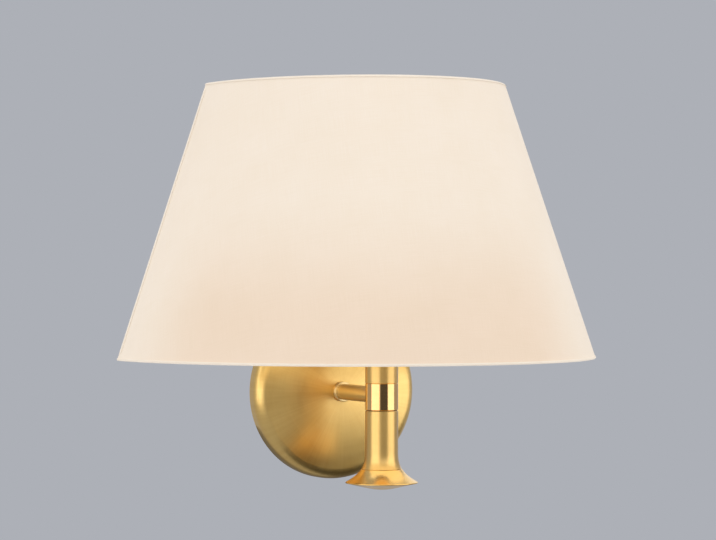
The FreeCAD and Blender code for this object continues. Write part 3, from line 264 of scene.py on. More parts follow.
def blown_glass(name, tint, streak_mm):
    """Clear blown soda glass. Slow streaks from blowing bend what is behind it a little."""
    material, tree, shader = new_finish(
        name, Base_Color=ink(tint), Transmission_Weight=1.0, IOR=1.5, Roughness=0.0)
    streaks = grain(tree, streak_mm, 1.0, stretch=(1, 1, 2.5))
    dress(tree, shader, height=streaks, depth_mm=0.05)
    return material


def earth_sleeve():
    """PVC lead insulation, green with two yellow stripes along it, from the lead's own UV map."""
    material, tree, shader = new_finish("earth_pvc_sleeve", Roughness=0.42)
    round_it = put(tree, "ShaderNodeSeparateXYZ", {0: put(tree, "ShaderNodeUVMap", uv_map="sleeve")})
    wave = put(tree, "ShaderNodeMath", {0: round_it.outputs[0], 1: 4 * math.pi}, operation="MULTIPLY")
    wave = put(tree, "ShaderNodeMath", {0: wave}, operation="SINE")
    stripe = put(tree, "ShaderNodeMapRange", {"Value": wave, "From Min": -0.05, "From Max": 0.05})
    dress(tree, shader, stripe, ("2F7A35", "D9C22E"), height=grain(tree, 0.4), depth_mm=0.01)
    return material


# ---- cloth ----------------------------------------------------------------------------------
def painted_shading_lower_middle(tree, place):
    """How much painted shading a place on the flat cut takes, from 0 to 1, most near the middle
    of the shade's lower edge. It lies a little to the left, as in the picture."""
    split = put(tree, "ShaderNodeSeparateXYZ", {0: place})
    reach = put(tree, "ShaderNodeVectorMath", {0: place}, operation="LENGTH").outputs["Value"]
    down = put(tree, "ShaderNodeMapRange", {
        "Value": reach, "From Min": (CUT_R - PAINTED_SHADING_HIGH * SLANT) * MM,
        "From Max": (CUT_R - PAINTED_SHADING_LOW * SLANT) * MM}, interpolation_type="SMOOTHSTEP")
    turn = put(tree, "ShaderNodeMath", {0: split.outputs[0], 1: split.outputs[1]}, operation="ARCTAN2")
    turn = put(tree, "ShaderNodeMath", {0: turn, 1: CUT_ANGLE * PAINTED_SHADING_MIDDLE}, operation="SUBTRACT")
    turn = put(tree, "ShaderNodeMath", {0: turn}, operation="ABSOLUTE")
    inward = put(tree, "ShaderNodeMapRange", {
        "Value": turn, "From Min": CUT_ANGLE * PAINTED_SHADING_ENDS, "From Max": CUT_ANGLE * PAINTED_SHADING_FULL},
        interpolation_type="SMOOTHSTEP")
    return put(tree, "ShaderNodeMath", {0: down, 1: inward}, operation="MULTIPLY")


def cotton(name, inks, thread_mm, relief_mm, painted_shading_inks=None):
    """Fine plain-weave cotton, pressed flat on a film. From a metre it is smooth and matt, and
    close to, slightly uneven threads cross in it. The real threads are 0.25 mm apart, drawn
    coarser here so that they show. The panel also carries painted shading: two darker inks,
    blended in toward the middle of its lower edge, stand in for the shade that falls there."""
    material, tree, shader = new_finish(name, Roughness=0.82, Sheen_Weight=0.12, Sheen_Roughness=0.5,
                                        Specular_IOR_Level=0.3)
    if painted_shading_inks:
        place = put(tree, "ShaderNodeUVMap", uv_map="flat_cut").outputs[0]
    else:
        place = put(tree, "ShaderNodeTexCoord").outputs["Object"]
    per_thread = math.pi / (thread_mm * MM)
    count = put(tree, "ShaderNodeVectorMath", {0: place, "Scale": per_thread}, operation="SCALE")
    wobble = grain(tree, 7.0, 2.0, place)
    wobble = put(tree, "ShaderNodeVectorMath", {0: wobble, "Scale": THREAD_WANDER}, operation="SCALE")
    count = put(tree, "ShaderNodeVectorMath", {0: count, 1: wobble}, operation="ADD")
    crossings = put(tree, "ShaderNodeVectorMath", {0: count}, operation="SINE")
    split = put(tree, "ShaderNodeSeparateXYZ", {0: crossings})
    weave = put(tree, "ShaderNodeMath", {0: split.outputs[0], 1: split.outputs[1]}, operation="MULTIPLY")
    weave = put(tree, "ShaderNodeMath", {0: weave}, operation="ABSOLUTE")
    warp = grain(tree, thread_mm, 2.0, place, (1, 40, 1))
    weft = grain(tree, thread_mm, 2.0, place, (40, 1, 1))
    slubs = put(tree, "ShaderNodeMath", {0: warp, 1: weft}, operation="ADD")
    height = put(tree, "ShaderNodeMath", {0: weave, 1: slubs}, operation="ADD")
    cloud = grain(tree, 40.0, 2.0, place)
    tone = tone_of(tree, (slubs, 0.6, (0.7, 1.3)), (cloud, 0.4, NOISE_RANGE))
    # Painted shading: two darker inks, blended in toward the lower middle of the panel.
    if painted_shading_inks:
        inks = [put(tree, "ShaderNodeMix", {0: tone, 6: ink(dark), 7: ink(light)},
                    data_type="RGBA").outputs[2] for dark, light in (inks, painted_shading_inks)]
        tone = painted_shading_lower_middle(tree, place)
    dress(tree, shader, tone, inks, height=height, depth_mm=relief_mm)
    return material


FINISH = {
    # Turned about, tangent's axis, pitch and depth of the rings in mm, inks, roughness, stretch.
    # Sheet brass, spun and brushed: broad soft bands, and painted glint streaks that fan out from its
    # middle.
    "plate": satin_brass("spun_brass_plate", "arm", "Y", 0.22, 0.0025, "E8BB66", "F5CE7C", 0.34, 0.6),
    # Brass tube, brushed round: one soft line of light along it. Its inks are painted paler than the other
    # brass, a painted reflection of the bright shade above it.
    "arm": satin_brass("turned_brass_arm", "arm", "Y", 0.18, 0.003, "FADA98", "FEE2A4", 0.34, 0.2),
    # Turned brass, brushed round: narrow soft bands down its length.
    "column": satin_brass(
        "turned_satin_brass_column", "column", "Z", 0.25, 0.003, "E2B665", "ECC272", 0.33, 0.35),

    # Inks, roughness.
    # Turned brass, buffed: hard bars of bright and dark.
    "bright": mirror_brass("buffed_brass", "EFBE7B", "F3C686", 0.09),
    # Turned brass, mopped: a softer mirror, full of the shade's glow.
    "foot": mirror_brass("mopped_brass_foot", "EFC372", "F4CB80", 0.24),

    # Inks, roughness, size of the crystal haze in mm.
    # Brass inks painted dark on the thin washer: a painted shadow line in the gap between two bright
    # pieces.
    "dark_brass": plated("shadow_dark_washer", "4A3A22", "6A5430", 0.45, 0.4),
    # Zinc on pressed steel: cool pale grey with a clouded shine.
    "zinc": plated("bright_zinc_plate", "BBBFC3", "CBCED1", 0.30, 0.5),
    # Brass stamped from strip: yellow, and bright where the tool slid.
    "pressed_brass": plated("pressed_brass_terminal", "C9A055", "DDB566", 0.26, 0.6),
    # Nickel on a drawn cap: warm grey and rather bright.
    "nickel": plated("nickel_plated_cap", "BDB8AF", "D6D2CA", 0.20, 0.7),
    # Tin solder, set from a drop: plain grey, half dull.
    "solder": plated("tin_solder_drop", "8E8F90", "ABACAD", 0.38, 0.5),
    # Drawn nickel-iron: thin grey lines in the bulb.
    "support": plated("nickel_iron_support_wire", "9A958C", "B5B0A6", 0.3, 0.5),

    # Inks, roughness, size and depth of the skin texture in mm.
    # Moulded rubber: black, and dull all over.
    "rubber": moulded("moulded_black_rubber", "141414", "1E1E1D", 0.62, 0.35, 0.02),
    # Moulded nylon without pigment: milky, as light sinks in a little.
    "nylon": moulded("natural_nylon_block", "D9D8CE", "E8E7DF", 0.42, 0.5, 0.015,
                     Subsurface_Weight=0.15, Subsurface_Scale=0.002),
    # PVC, extruded over wire: one even colour with a soft sheen.
    "live": moulded("brown_pvc_sleeve", "4A2A17", "5C3720", 0.42, 0.3, 0.01),
    "neutral": moulded("blue_pvc_sleeve", "1F4E8C", "2A5F9E", 0.42, 0.3, 0.01),
    "earth": earth_sleeve(),
    # Phenolic, pressed hot: brown-black with a low shine.
    "phenolic": moulded("moulded_black_phenolic", "16130F", "211D18", 0.30, 0.6, 0.012),
    # Porcelain, glazed: off-white under a clear wet shine.
    "porcelain": moulded("glazed_porcelain", "E4E1D8", "F1EEE6", 0.16, 2.5, 0.02,
                         Coat_Weight=0.5, Coat_Roughness=0.06),
    # Steel wire, powder coated: warm white and matt.
    "coated_wire": moulded("powder_coated_wire", "E3E0D8", "EFEDE6", 0.58, 2.5, 0.004),
    # Glass fused round the contact: black with a sharp glint.
    "black_glass": moulded("fused_black_glass", "0C0C10", "15151A", 0.10, 1.5, 0.01),
    # Silicone that carries phosphor, coated on a strip: amber yellow, half matt.
    "phosphor": moulded("silicone_phosphor_strip", "D8A23A", "EBC055", 0.50, 0.5, 0.02),
    # Styrene, rolled to a film: warm white, even and satin.
    "film": moulded("white_styrene_film", "F2EADD", "F5EDE1", 0.46, 3.0, 0.01),

    # Tint, width of the streaks in mm.
    # Soda glass, blown thin: clear, and it bends what is behind it a little.
    "bulb": blown_glass("clear_blown_glass", "FBFBF8", 22.0),
    # Glass, pressed while soft: shorter ripples, and a trace of green.
    "stem": blown_glass("pressed_stem_glass", "F2F5F2", 9.0),

    # Inks, thread spacing and depth of the weave in mm, inks of the painted shading.
    #     # Cotton, pressed flat on its film: smooth and matt, with painted shading that darkens it toward
    #     its lower middle.
    "cloth": cotton("laminated_cotton", ("F1E2CF", "F5E8D9"), 0.45, 0.02, ("EBD5BD", "F0DBC6")),
    # The same cotton, turned over the edge: inks a little lighter, a painted highlight for the light line
    # along the rims, and more of its weave.
    "turned_cloth": cotton("turned_cotton_edge", ("F2E4D2", "F6EBDC"), 0.45, 0.03),
}

CAD_FINISH = {
    "plate": ("wall_plate",),
    "arm": ("arm_tube", "arm_collar"),
    "column": ("upper_column", "lower_column", "column_cap"),
    "bright": ("hub",),
    "foot": ("foot",),
    # The washer's dark ink is a painted shadow in the gap under the hub.
    "dark_brass": ("spacer_washer",),
    "zinc": (
        "wall_bracket", "plate_grub_screws", "arm_washer", "arm_lock_nut", "tie_rod", "nipple",
        "nipple_nut", "block_screw", "terminal_screws", "holder_screws", "earth_screw", "earth_tag"),
    "pressed_brass": ("terminal_clamps", "holder_contacts"),
    "nickel": ("bulb_cap",),
    "solder": ("bulb_contact",),
    "rubber": ("cable_grommet",),
    "nylon": ("terminal_block",),
    "live": ("live_lead",),
    "neutral": ("neutral_lead",),
    "phenolic": ("holder_cap", "holder_barrel", "shade_clamp_ring"),
    "porcelain": ("holder_insert",),
    "coated_wire": ("back_uprights", "back_bars", "bottom_wire", "top_wire", "shade_fitter"),
    "black_glass": ("bulb_insulator",),
    "bulb": ("bulb_glass",),
    "stem": ("bulb_stem",),
}
for finish, members in CAD_FINISH.items():
    for member in members:
        for slot in nodes[member].material_slots:
            slot.material = FINISH[finish]


# ---- making pieces --------------------------------------------------------------------------
def settle(name, mesh, finish, body, slot, *replaced):
    """Puts a finished mesh in the scene as one piece of the light."""
    mesh.name = name
    mesh.materials.clear()
    mesh.materials.append(FINISH[finish])
    piece = bpy.data.objects.new(name, mesh)
    bpy.context.scene.collection.objects.link(piece)
    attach(piece, body)
    if replaced:
        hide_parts(*replaced)
    return piece


def shape_tree(name, sizes, fed=False):
    """An empty Geometry Nodes tree with a named input for each size: whole numbers are counts and
    seeds, and the rest lengths, angles and shares. A fed one starts from the points of a mesh."""
    tree = bpy.data.node_groups.new(name, "GeometryNodeTree")
    tree.interface.new_socket("Geometry", in_out="OUTPUT", socket_type="NodeSocketGeometry")
    if fed:
        tree.interface.new_socket("Geometry", in_out="INPUT", socket_type="NodeSocketGeometry")
    for label, value in sizes.items():
        kind = "NodeSocketInt" if isinstance(value, int) else "NodeSocketFloat"
        tree.interface.new_socket(label, in_out="INPUT", socket_type=kind).default_value = value
    given = put(tree, "NodeGroupInput")
    return tree, {socket.name: socket for socket in given.outputs}


def grown(tree, sizes=None, fed_mesh=None):
    """Runs a tree, with any of its sizes changed, and gives back the plain mesh it makes."""
    sizes = sizes or {}
    for label in sizes:
        if label not in tree.interface.items_tree:
            raise KeyError(label)
    carrier = bpy.data.objects.new(tree.name, fed_mesh or bpy.data.meshes.new(tree.name))
    bpy.context.scene.collection.objects.link(carrier)
    modifier = carrier.modifiers.new("shape", "NODES")
    modifier.node_group = tree
    for item in tree.interface.items_tree:
        if item.in_out == "INPUT" and item.name in sizes:
            modifier[item.identifier] = sizes[item.name]
    bpy.context.view_layer.update()
    mesh = bpy.data.meshes.new_from_object(carrier.evaluated_get(bpy.context.evaluated_depsgraph_get()))
    carrier.modifiers.remove(modifier)
    bpy.data.objects.remove(carrier)
    return mesh


def end_tree(tree, shape, finish):
    """Every tree ends in plain, painted geometry."""
    real = put(tree, "GeometryNodeRealizeInstances", {0: shape})
    painted = put(tree, "GeometryNodeSetMaterial", {"Geometry": real, "Material": FINISH[finish]})
    put(tree, "NodeGroupOutput", {0: painted})


def smoothed(shell, mesh, sharp_from=40):
    """Writes a shell into a mesh. Its faces look outwards and are smooth, and an edge stays sharp
    where the surface turns by that many degrees or more."""
    bmesh.ops.recalc_face_normals(shell, faces=shell.faces)
    for face in shell.faces:
        face.smooth = True
    for edge in shell.edges:
        turn = edge.calc_face_angle(0.0)
        edge.smooth = len(edge.link_faces) == 2 and turn < math.radians(sharp_from)
    shell.to_mesh(mesh)
    shell.free()
    return mesh


def rounded_off(mesh):
    """A grown mesh with its doubled points merged and its faces smooth."""
    shell = bmesh.new()
    shell.from_mesh(mesh)
    bmesh.ops.remove_doubles(shell, verts=shell.verts, dist=1e-7)
    return smoothed(shell, mesh)


# ---- the tapered half shade -----------------------------------------------------------------
def oval_point(inset, height, turn):
    """Point of the half oval at a height, set in from the cloth's outside: mm in, metres out."""
    share = (height - SHADE_LOW) / (SHADE_HIGH - SHADE_LOW)
    half_w = LOW_HALF_W + (HIGH_HALF_W - LOW_HALF_W) * share - inset
    depth = LOW_DEPTH + (HIGH_DEPTH - LOW_DEPTH) * share - inset
    return Vector((half_w * math.cos(turn), -SHADE_GAP - depth * math.sin(turn), height)) * MM


def half_shade_tree():
    """A tapered half oval sheet of a given thickness, which carries its own flat cut as UV map."""
    tree, size = shape_tree("tapered_half_shade", {
        "Low Half Width": LOW_HALF_W * MM, "Low Depth": LOW_DEPTH * MM,
        "High Half Width": HIGH_HALF_W * MM, "High Depth": HIGH_DEPTH * MM,
        "Wall Gap": SHADE_GAP * MM, "Low": SHADE_LOW * MM, "High": SHADE_HIGH * MM,
        "Lift": EDGE_LIFT * MM, "Inset": 0.0, "Thickness": FABRIC_T * MM,
        "Cut Angle": CUT_ANGLE, "Cut Radius": CUT_R * MM, "Slant": SLANT * MM,
        "Steps Round": 193, "Steps Up": 33})
    tall = put(tree, "ShaderNodeMath", {0: size["High"], 1: size["Low"]}, operation="SUBTRACT")
    lift = put(tree, "ShaderNodeMath", {0: size["Lift"], 1: tall}, operation="DIVIDE")
    top = put(tree, "ShaderNodeMath", {0: 1.0, 1: lift}, operation="SUBTRACT")
    grid = put(tree, "GeometryNodeMeshGrid", {
        "Size X": 1.0, "Size Y": 1.0, "Vertices X": size["Steps Round"], "Vertices Y": size["Steps Up"]})
    place = put(tree, "ShaderNodeSeparateXYZ", {0: put(tree, "GeometryNodeInputPosition")})
    turn_share = put(tree, "ShaderNodeMath", {0: place.outputs[0], 1: 0.5}, operation="ADD")
    up_share = put(tree, "ShaderNodeMath", {0: place.outputs[1], 1: 0.5}, operation="ADD")
    up_share = put(tree, "ShaderNodeMapRange", {"Value": up_share, "To Min": lift, "To Max": top})
    turn = put(tree, "ShaderNodeMath", {0: turn_share, 1: math.pi}, operation="MULTIPLY")
    height = put(tree, "ShaderNodeMapRange", {
        "Value": up_share, "To Min": size["Low"], "To Max": size["High"]})
    sheets = []
    for inward in (0.0, 1.0):
        inset = put(tree, "ShaderNodeMath", {0: size["Thickness"], 1: inward, 2: size["Inset"]},
                    operation="MULTIPLY_ADD")
        reach = []
        for extent, wave in (("Half Width", "COSINE"), ("Depth", "SINE")):
            axis = put(tree, "ShaderNodeMapRange", {
                "Value": up_share, "To Min": size["Low " + extent], "To Max": size["High " + extent]})
            axis = put(tree, "ShaderNodeMath", {0: axis, 1: inset}, operation="SUBTRACT")
            share = put(tree, "ShaderNodeMath", {0: turn}, operation=wave)
            reach.append(put(tree, "ShaderNodeMath", {0: axis, 1: share}, operation="MULTIPLY"))
        out = put(tree, "ShaderNodeMath", {0: reach[1], 1: size["Wall Gap"]}, operation="ADD")
        out = put(tree, "ShaderNodeMath", {0: out, 1: -1.0}, operation="MULTIPLY")
        sheets.append(put(tree, "ShaderNodeCombineXYZ", {0: reach[0], 1: out, 2: height}))
    angle = put(tree, "ShaderNodeMath", {0: place.outputs[0], 1: size["Cut Angle"]}, operation="MULTIPLY")
    arm = put(tree, "ShaderNodeMath", {0: up_share, 1: size["Slant"]}, operation="MULTIPLY")
    arm = put(tree, "ShaderNodeMath", {0: size["Cut Radius"], 1: arm}, operation="SUBTRACT")
    cut = put(tree, "ShaderNodeCombineXYZ")
    for side, wave in enumerate(("SINE", "COSINE")):
        share = put(tree, "ShaderNodeMath", {0: angle}, operation=wave)
        share = put(tree, "ShaderNodeMath", {0: arm, 1: share}, operation="MULTIPLY")
        tree.links.new(share.outputs[0], cut.inputs[side])
    flat = put(tree, "GeometryNodeStoreNamedAttribute", {
        "Geometry": grid, "Name": "flat_cut", "Value": cut}, data_type="FLOAT2", domain="CORNER")
    outside = put(tree, "GeometryNodeSetPosition", {"Geometry": flat, "Position": sheets[0]})
    inside = put(tree, "GeometryNodeSetPosition", {"Geometry": flat, "Position": sheets[1]})
    inside = put(tree, "GeometryNodeFlipFaces", {"Mesh": inside})
    both = put(tree, "GeometryNodeJoinGeometry")
    tree.links.new(inside.outputs[0], both.inputs[0])
    tree.links.new(outside.outputs[0], both.inputs[0])
    end_tree(tree, both, "cloth")
    return tree


def close_rims(mesh):
    """Joins the outer and the inner sheet of a double grid along their rims."""
    shell = bmesh.new()
    shell.from_mesh(mesh)
    rim = [edge for edge in shell.edges if edge.is_boundary]
    bmesh.ops.bridge_loops(shell, edges=rim)
    return smoothed(shell, mesh)


shade_tree = half_shade_tree()
panel = settle("shade_cotton_panel", close_rims(grown(shade_tree)),
               "cloth", "shade", "cream_fabric", "shade_fabric")
behind = {"Inset": FILM_INSET * MM, "Thickness": FILM_T * MM}
settle("shade_backing_film", close_rims(grown(shade_tree, behind)),
       "film", "shade", "liner_film", "shade_liner")


def skin(rings):
    """Mesh through a row of closed rings of points, closed at both ends."""
    shell = bmesh.new()
    rows = [[shell.verts.new(point) for point in ring] for ring in rings]
    for row, after in zip(rows, rows[1:]):
        count = len(row)
        for i in range(count):
            shell.faces.new((row[i], row[(i + 1) % count], after[(i + 1) % count], after[i]))
    shell.faces.new(rows[0])
    shell.faces.new(rows[-1])
    return smoothed(shell, bpy.data.meshes.new("skin"), 50)


def flowing(points, steps=4):
    """A smooth line through points in the plane (Catmull-Rom)."""
    line = []
    ends = [points[0]] + list(points) + [points[-1]]
    for a, b, c, d in zip(ends, ends[1:], ends[2:], ends[3:]):
        for i in range(steps):
            t = i / steps
            line.append(tuple(
                0.5 * (2 * b[k] + (c[k] - a[k]) * t + (2 * a[k] - 5 * b[k] + 4 * c[k] - d[k]) * t * t
                       + (3 * b[k] - a[k] - 3 * c[k] + d[k]) * t ** 3) for k in (0, 1)))
    line.append(tuple(points[-1]))
    return line


def folded_strip(line, thickness):
    """Closed section of a strip of cloth along a line in the plane."""
    left, right = [], []
    for i, here in enumerate(line):
        before, after = line[max(i - 1, 0)], line[min(i + 1, len(line) - 1)]
        way = Vector((after[0] - before[0], after[1] - before[1])).normalized() * thickness / 2
        left.append((here[0] - way.y, here[1] + way.x))
        right.append((here[0] + way.y, here[1] - way.x))
    return left + right[::-1]


def hem_line(turn, edge, inward, lip, slits):
    """Middle line of a rolled edge, as (inset, height): a lip outside, round under the wire, and
    up inside. The turned cloth puckers a little, and it is slit where a fitter wire passes."""
    pucker = 0.10 * noise.noise(Vector((turn * 42, edge, 0)))      # lumps 2 to 4 mm long
    pucker += 0.05 * noise.noise(Vector((turn * 150, edge, 3)))    # and finer ones on them
    lip += pucker
    inner = HEM_BACK + 2 * pucker
    if any(abs(turn - slit) < SLIT_HALF for slit in slits):
        inner = SLIT_BACK
    line = ((-0.20, lip), (-0.21, 1.15), (0.10, 0.62), (1.0, 0.26), (2.4, 0.19 + pucker / 3), (3.5, 0.45),
            (4.2, 1.25), (4.37, min(2.3, inner - 0.2)), (4.37, inner))
    return [(inset, edge + inward * height) for inset, height in flowing(line)]


def fitter_turn(degrees):
    """The half oval's own turn where a fitter wire, at an angle seen from above, meets it."""
    way = Vector((math.cos(math.radians(degrees)), math.sin(math.radians(degrees))))
    tries = 2000

    def miss(i):
        """How far a try lies off the wire's way."""
        reach = oval_point(SLIT_INSET, WIRE_LOW, math.pi * i / tries).xy / MM - Vector((0, COLUMN_Y))
        wrong_side = 10 if reach.dot(way) < 0 else 0
        return abs(reach.normalized().cross(way)) + wrong_side

    return math.pi * min(range(tries), key=miss) / tries


def rolled_edge(edge, inward, lip, slits=()):
    """The cloth rolled round one rim of the shade, with a sharp step at each side of a slit."""
    turns = [math.pi * i / HEM_STEPS for i in range(HEM_STEPS + 1)]
    for slit in slits:
        turns += [slit + SLIT_HALF * share for share in (-1.001, -0.999, 0.999, 1.001)]
    rings = []
    for turn in sorted(turns):
        section = folded_strip(hem_line(turn, edge, inward, lip, slits), HEM_T)
        rings.append([oval_point(inset, height, turn) for inset, height in section])
    return skin(rings)


wire_turns = [fitter_turn(degrees) for degrees in FITTER_TURNS]
bottom_roll = settle("bottom_rolled_edge", rolled_edge(SHADE_LOW, 1, LOW_LIP, wire_turns),
                     "turned_cloth", "shade", "hem_fabric", "bottom_hem")
top_roll = settle("top_rolled_edge", rolled_edge(SHADE_HIGH, -1, HIGH_LIP),
                  "turned_cloth", "shade", "hem_fabric", "top_hem")


def side_strip(side):
    """Turned edge down one cut side: a lip outside, round the upright, and back inside. Its line
    is given as (outwards, towards the wall)."""
    rings = []
    low, high = SHADE_LOW + SIDE_ENDS, SHADE_HIGH - SIDE_ENDS
    for i in range(SIDE_STEPS + 1):
        height = low + (high - low) * i / SIDE_STEPS
        edge = oval_point(0.0, height, 0.0).x / MM
        wave = 0.12 * noise.noise(Vector((height * 0.21, side * 5, 1)))
        line = flowing([
            (0.20, -SIDE_LIP + wave), (0.20, -1.9), (0.19, -0.8), (-0.25, 0.02), (-1.4, 0.20),
            (-2.9, 0.20), (-4.1, -0.05), (-4.39, -0.9), (-4.39, -3.0), (-4.39, -BACK_STRIP_W - wave)])
        rings.append([Vector((side * (edge + across), -SHADE_GAP + along, height)) * MM
                      for across, along in folded_strip(line, HEM_T)])
    return skin(rings)


def joined(name, meshes):
    """One mesh from several."""
    whole = bmesh.new()
    for mesh in meshes:
        whole.from_mesh(mesh)
    result = bpy.data.meshes.new(name)
    whole.to_mesh(result)
    whole.free()
    return result


side_rolls = settle("side_turned_edges", joined("side", [side_strip(-1), side_strip(1)]),
                    "turned_cloth", "shade", "hem_fabric", "back_hems")


# ---- weld beads on the wire frame -----------------------------------------------------------
def weld_tree():
    """A small lump of melted steel on each point of a mesh, no two quite alike."""
    tree, size = shape_tree("weld_beads", {
        "Bead Radius": BEAD_R * MM, "Least Share": 0.88, "Most Share": 1.06, "Seed": 3}, fed=True)
    bead = put(tree, "GeometryNodeMeshIcoSphere", {"Radius": size["Bead Radius"], "Subdivisions": 4})
    share = put(tree, "FunctionNodeRandomValue", {
        2: size["Least Share"], 3: size["Most Share"], "Seed": size["Seed"]}, data_type="FLOAT")
    beads = put(tree, "GeometryNodeInstanceOnPoints", {
        "Points": size["Geometry"], "Instance": bead, "Scale": share.outputs[1]})
    end_tree(tree, beads, "coated_wire")
    return tree


def weld_places():
    """Where the fitter meets its ring and the lower wire, and the uprights meet both wires."""
    places = [oval_point(WIRE_INSET + WIRE_R, WIRE_LOW, turn) for turn in wire_turns]
    for turn in map(math.radians, FITTER_TURNS):
        x, y = RING_BEAD_R * math.cos(turn), COLUMN_Y + RING_BEAD_R * math.sin(turn)
        places.append(Vector((x, y, RING_BEAD_Z)) * MM)
    for side in (-1, 1):
        for height in (WIRE_LOW, WIRE_HIGH):
            edge = oval_point(WIRE_INSET, height, 0.0).x
            places.append(Vector((side * edge, UPRIGHT_Y * MM, height * MM)))
    return places


weld_points = bpy.data.meshes.new("weld_points")
weld_points.from_pydata(weld_places(), [], [])
settle("frame_weld_beads", rounded_off(grown(weld_tree(), fed_mesh=weld_points)),
       "coated_wire", "shade", "coated_wire")


# ---- filaments ------------------------------------------------------------------------------
def filament_tree(finish, from_r, from_z, to_r, to_z, rod_r):
    """Four straight rods evenly round the bulb's axis, each from one radius and height to another."""
    tree, size = shape_tree("filament_rods", {
        "From Radius": from_r * MM, "From Height": from_z * MM, "To Radius": to_r * MM,
        "To Height": to_z * MM, "Rod Radius": rod_r * MM, "Axis Y": COLUMN_Y * MM,
        "Rods": 4, "Sides": 16})
    start = put(tree, "ShaderNodeCombineXYZ", {0: size["From Radius"], 2: size["From Height"]})
    end = put(tree, "ShaderNodeCombineXYZ", {0: size["To Radius"], 2: size["To Height"]})
    line = put(tree, "GeometryNodeCurvePrimitiveLine", {"Start": start, "End": end})
    round_it = put(tree, "GeometryNodeCurvePrimitiveCircle", {
        "Radius": size["Rod Radius"], "Resolution": size["Sides"]})
    rod = put(tree, "GeometryNodeCurveToMesh", {
        "Curve": line, "Profile Curve": round_it, "Fill Caps": True})
    middle = put(tree, "ShaderNodeCombineXYZ", {1: size["Axis Y"]})
    posts = put(tree, "GeometryNodePoints", {"Count": size["Rods"], "Position": middle})
    step = put(tree, "ShaderNodeMath", {0: 2 * math.pi, 1: size["Rods"]}, operation="DIVIDE")
    index = put(tree, "ShaderNodeMath", {0: put(tree, "GeometryNodeInputIndex"), 1: 0.5}, operation="ADD")
    turn = put(tree, "ShaderNodeMath", {0: index, 1: step}, operation="MULTIPLY")
    turn = put(tree, "ShaderNodeCombineXYZ", {2: turn})
    rods = put(tree, "GeometryNodeInstanceOnPoints", {"Points": posts, "Instance": rod, "Rotation": turn})
    end_tree(tree, rods, finish)
    return tree


strips = grown(filament_tree(
    "phosphor", FILAMENT_LOW_R, FILAMENT_LOW, FILAMENT_TOP_R, FILAMENT_TOP, FILAMENT_R))
settle("filament_strips", rounded_off(strips), "phosphor", "bulb", "filament", "bulb_filaments")
supports = joined("supports", [
    grown(filament_tree("support", *ends, SUPPORT_R)) for ends in SUPPORT_ENDS])
settle("filament_support_wires", rounded_off(supports), "support", "bulb", "filament")


# ---- the earth lead, striped ----------------------------------------------------------------
def bent_path(corners, bend, steps=8):
    """Straight runs between corners, with a round bend of one radius at each."""
    path = [corners[0]]
    for before, corner, after in zip(corners, corners[1:], corners[2:]):
        back, ahead = (before - corner).normalized(), (after - corner).normalized()
        half = back.angle(ahead) / 2
        centre = corner + (back + ahead).normalized() * bend / math.sin(half)
        start, end = ((corner + way * bend / math.tan(half) - centre).normalized() for way in (back, ahead))
        path += [centre + start.slerp(end, i / steps) * bend for i in range(steps + 1)]
    return path + [corners[-1]]


def sleeve(path, radius, sides=20):
    """Round tube along a path, with a UV map: u once round it, v along it in metres."""
    shell = bmesh.new()
    uv = shell.loops.layers.uv.new("sleeve")
    way = (path[1] - path[0]).normalized()
    side = way.orthogonal().normalized()
    rows, lengths, run = [], [], 0.0
    for i, here in enumerate(path):
        ahead = (path[min(i + 1, len(path) - 1)] - path[max(i - 1, 0)]).normalized()
        side = (side - ahead * side.dot(ahead)).normalized()
        other = ahead.cross(side)
        run += (here - path[i - 1]).length if i else 0.0
        lengths.append(run)
        rows.append([shell.verts.new(here + (side * math.cos(2 * math.pi * k / sides)
                                             + other * math.sin(2 * math.pi * k / sides)) * radius)
                     for k in range(sides)])
    for i, (row, after) in enumerate(zip(rows, rows[1:])):
        for k in range(sides):
            beside = (k + 1) % sides
            face = shell.faces.new((row[k], row[beside], after[beside], after[k]))
            face.smooth = True
            for loop, (u, v) in zip(face.loops, ((k, i), (k + 1, i), (k + 1, i + 1), (k, i + 1))):
                loop[uv].uv = (u / sides, lengths[v])
    shell.faces.new(rows[0][::-1])
    shell.faces.new(rows[-1])
    bmesh.ops.recalc_face_normals(shell, faces=shell.faces)
    mesh = bpy.data.meshes.new("sleeve")
    shell.to_mesh(mesh)
    shell.free()
    return mesh


earth_route = [Vector(corner) * MM for corner in EARTH_CORNERS]
settle("striped_earth_lead", sleeve(bent_path(earth_route, LEAD_BEND * MM), LEAD_R * MM),
       "earth", "wall_light", "earth_insulation", "earth_lead")


# ---- stage, lamps, camera -------------------------------------------------------------------
PAPER = "ADB0B7"               # the photograph's plain grey ground
AIM = Vector((-19.09, -80.0, 75.91)) * MM      # seen in the middle of the picture
CAMERA_TURN, CAMERA_RISE, CAMERA_AWAY = 26.0, 0.03, 1615.96 * MM
LENS = 135.35                  # mm, for a picture 36 mm wide


def round_object(turn, rise, away):
    """A place away from the light: turn 0 is in front, and 90 to the left, as seen from the room."""
    a, e = math.radians(turn), math.radians(rise)
    return AIM + Vector((-math.sin(a) * math.cos(e), -math.cos(a) * math.cos(e), math.sin(e))) * away


def facing_light(turn, rise, away):
    """Where a camera, lamp or card stands that looks at the light from there."""
    place = round_object(turn, rise, away)
    return Matrix.Translation(place) @ (AIM - place).to_track_quat("-Z", "Y").to_matrix().to_4x4()


camera_data = bpy.data.cameras.new("photograph_camera")
camera_data.sensor_fit = "HORIZONTAL"
camera_data.sensor_width = 36.0
camera_data.lens = LENS
camera = bpy.data.objects.new("photograph_camera", camera_data)
camera.matrix_world = facing_light(CAMERA_TURN, CAMERA_RISE, CAMERA_AWAY)
bpy.context.scene.collection.objects.link(camera)
bpy.context.scene.camera = camera


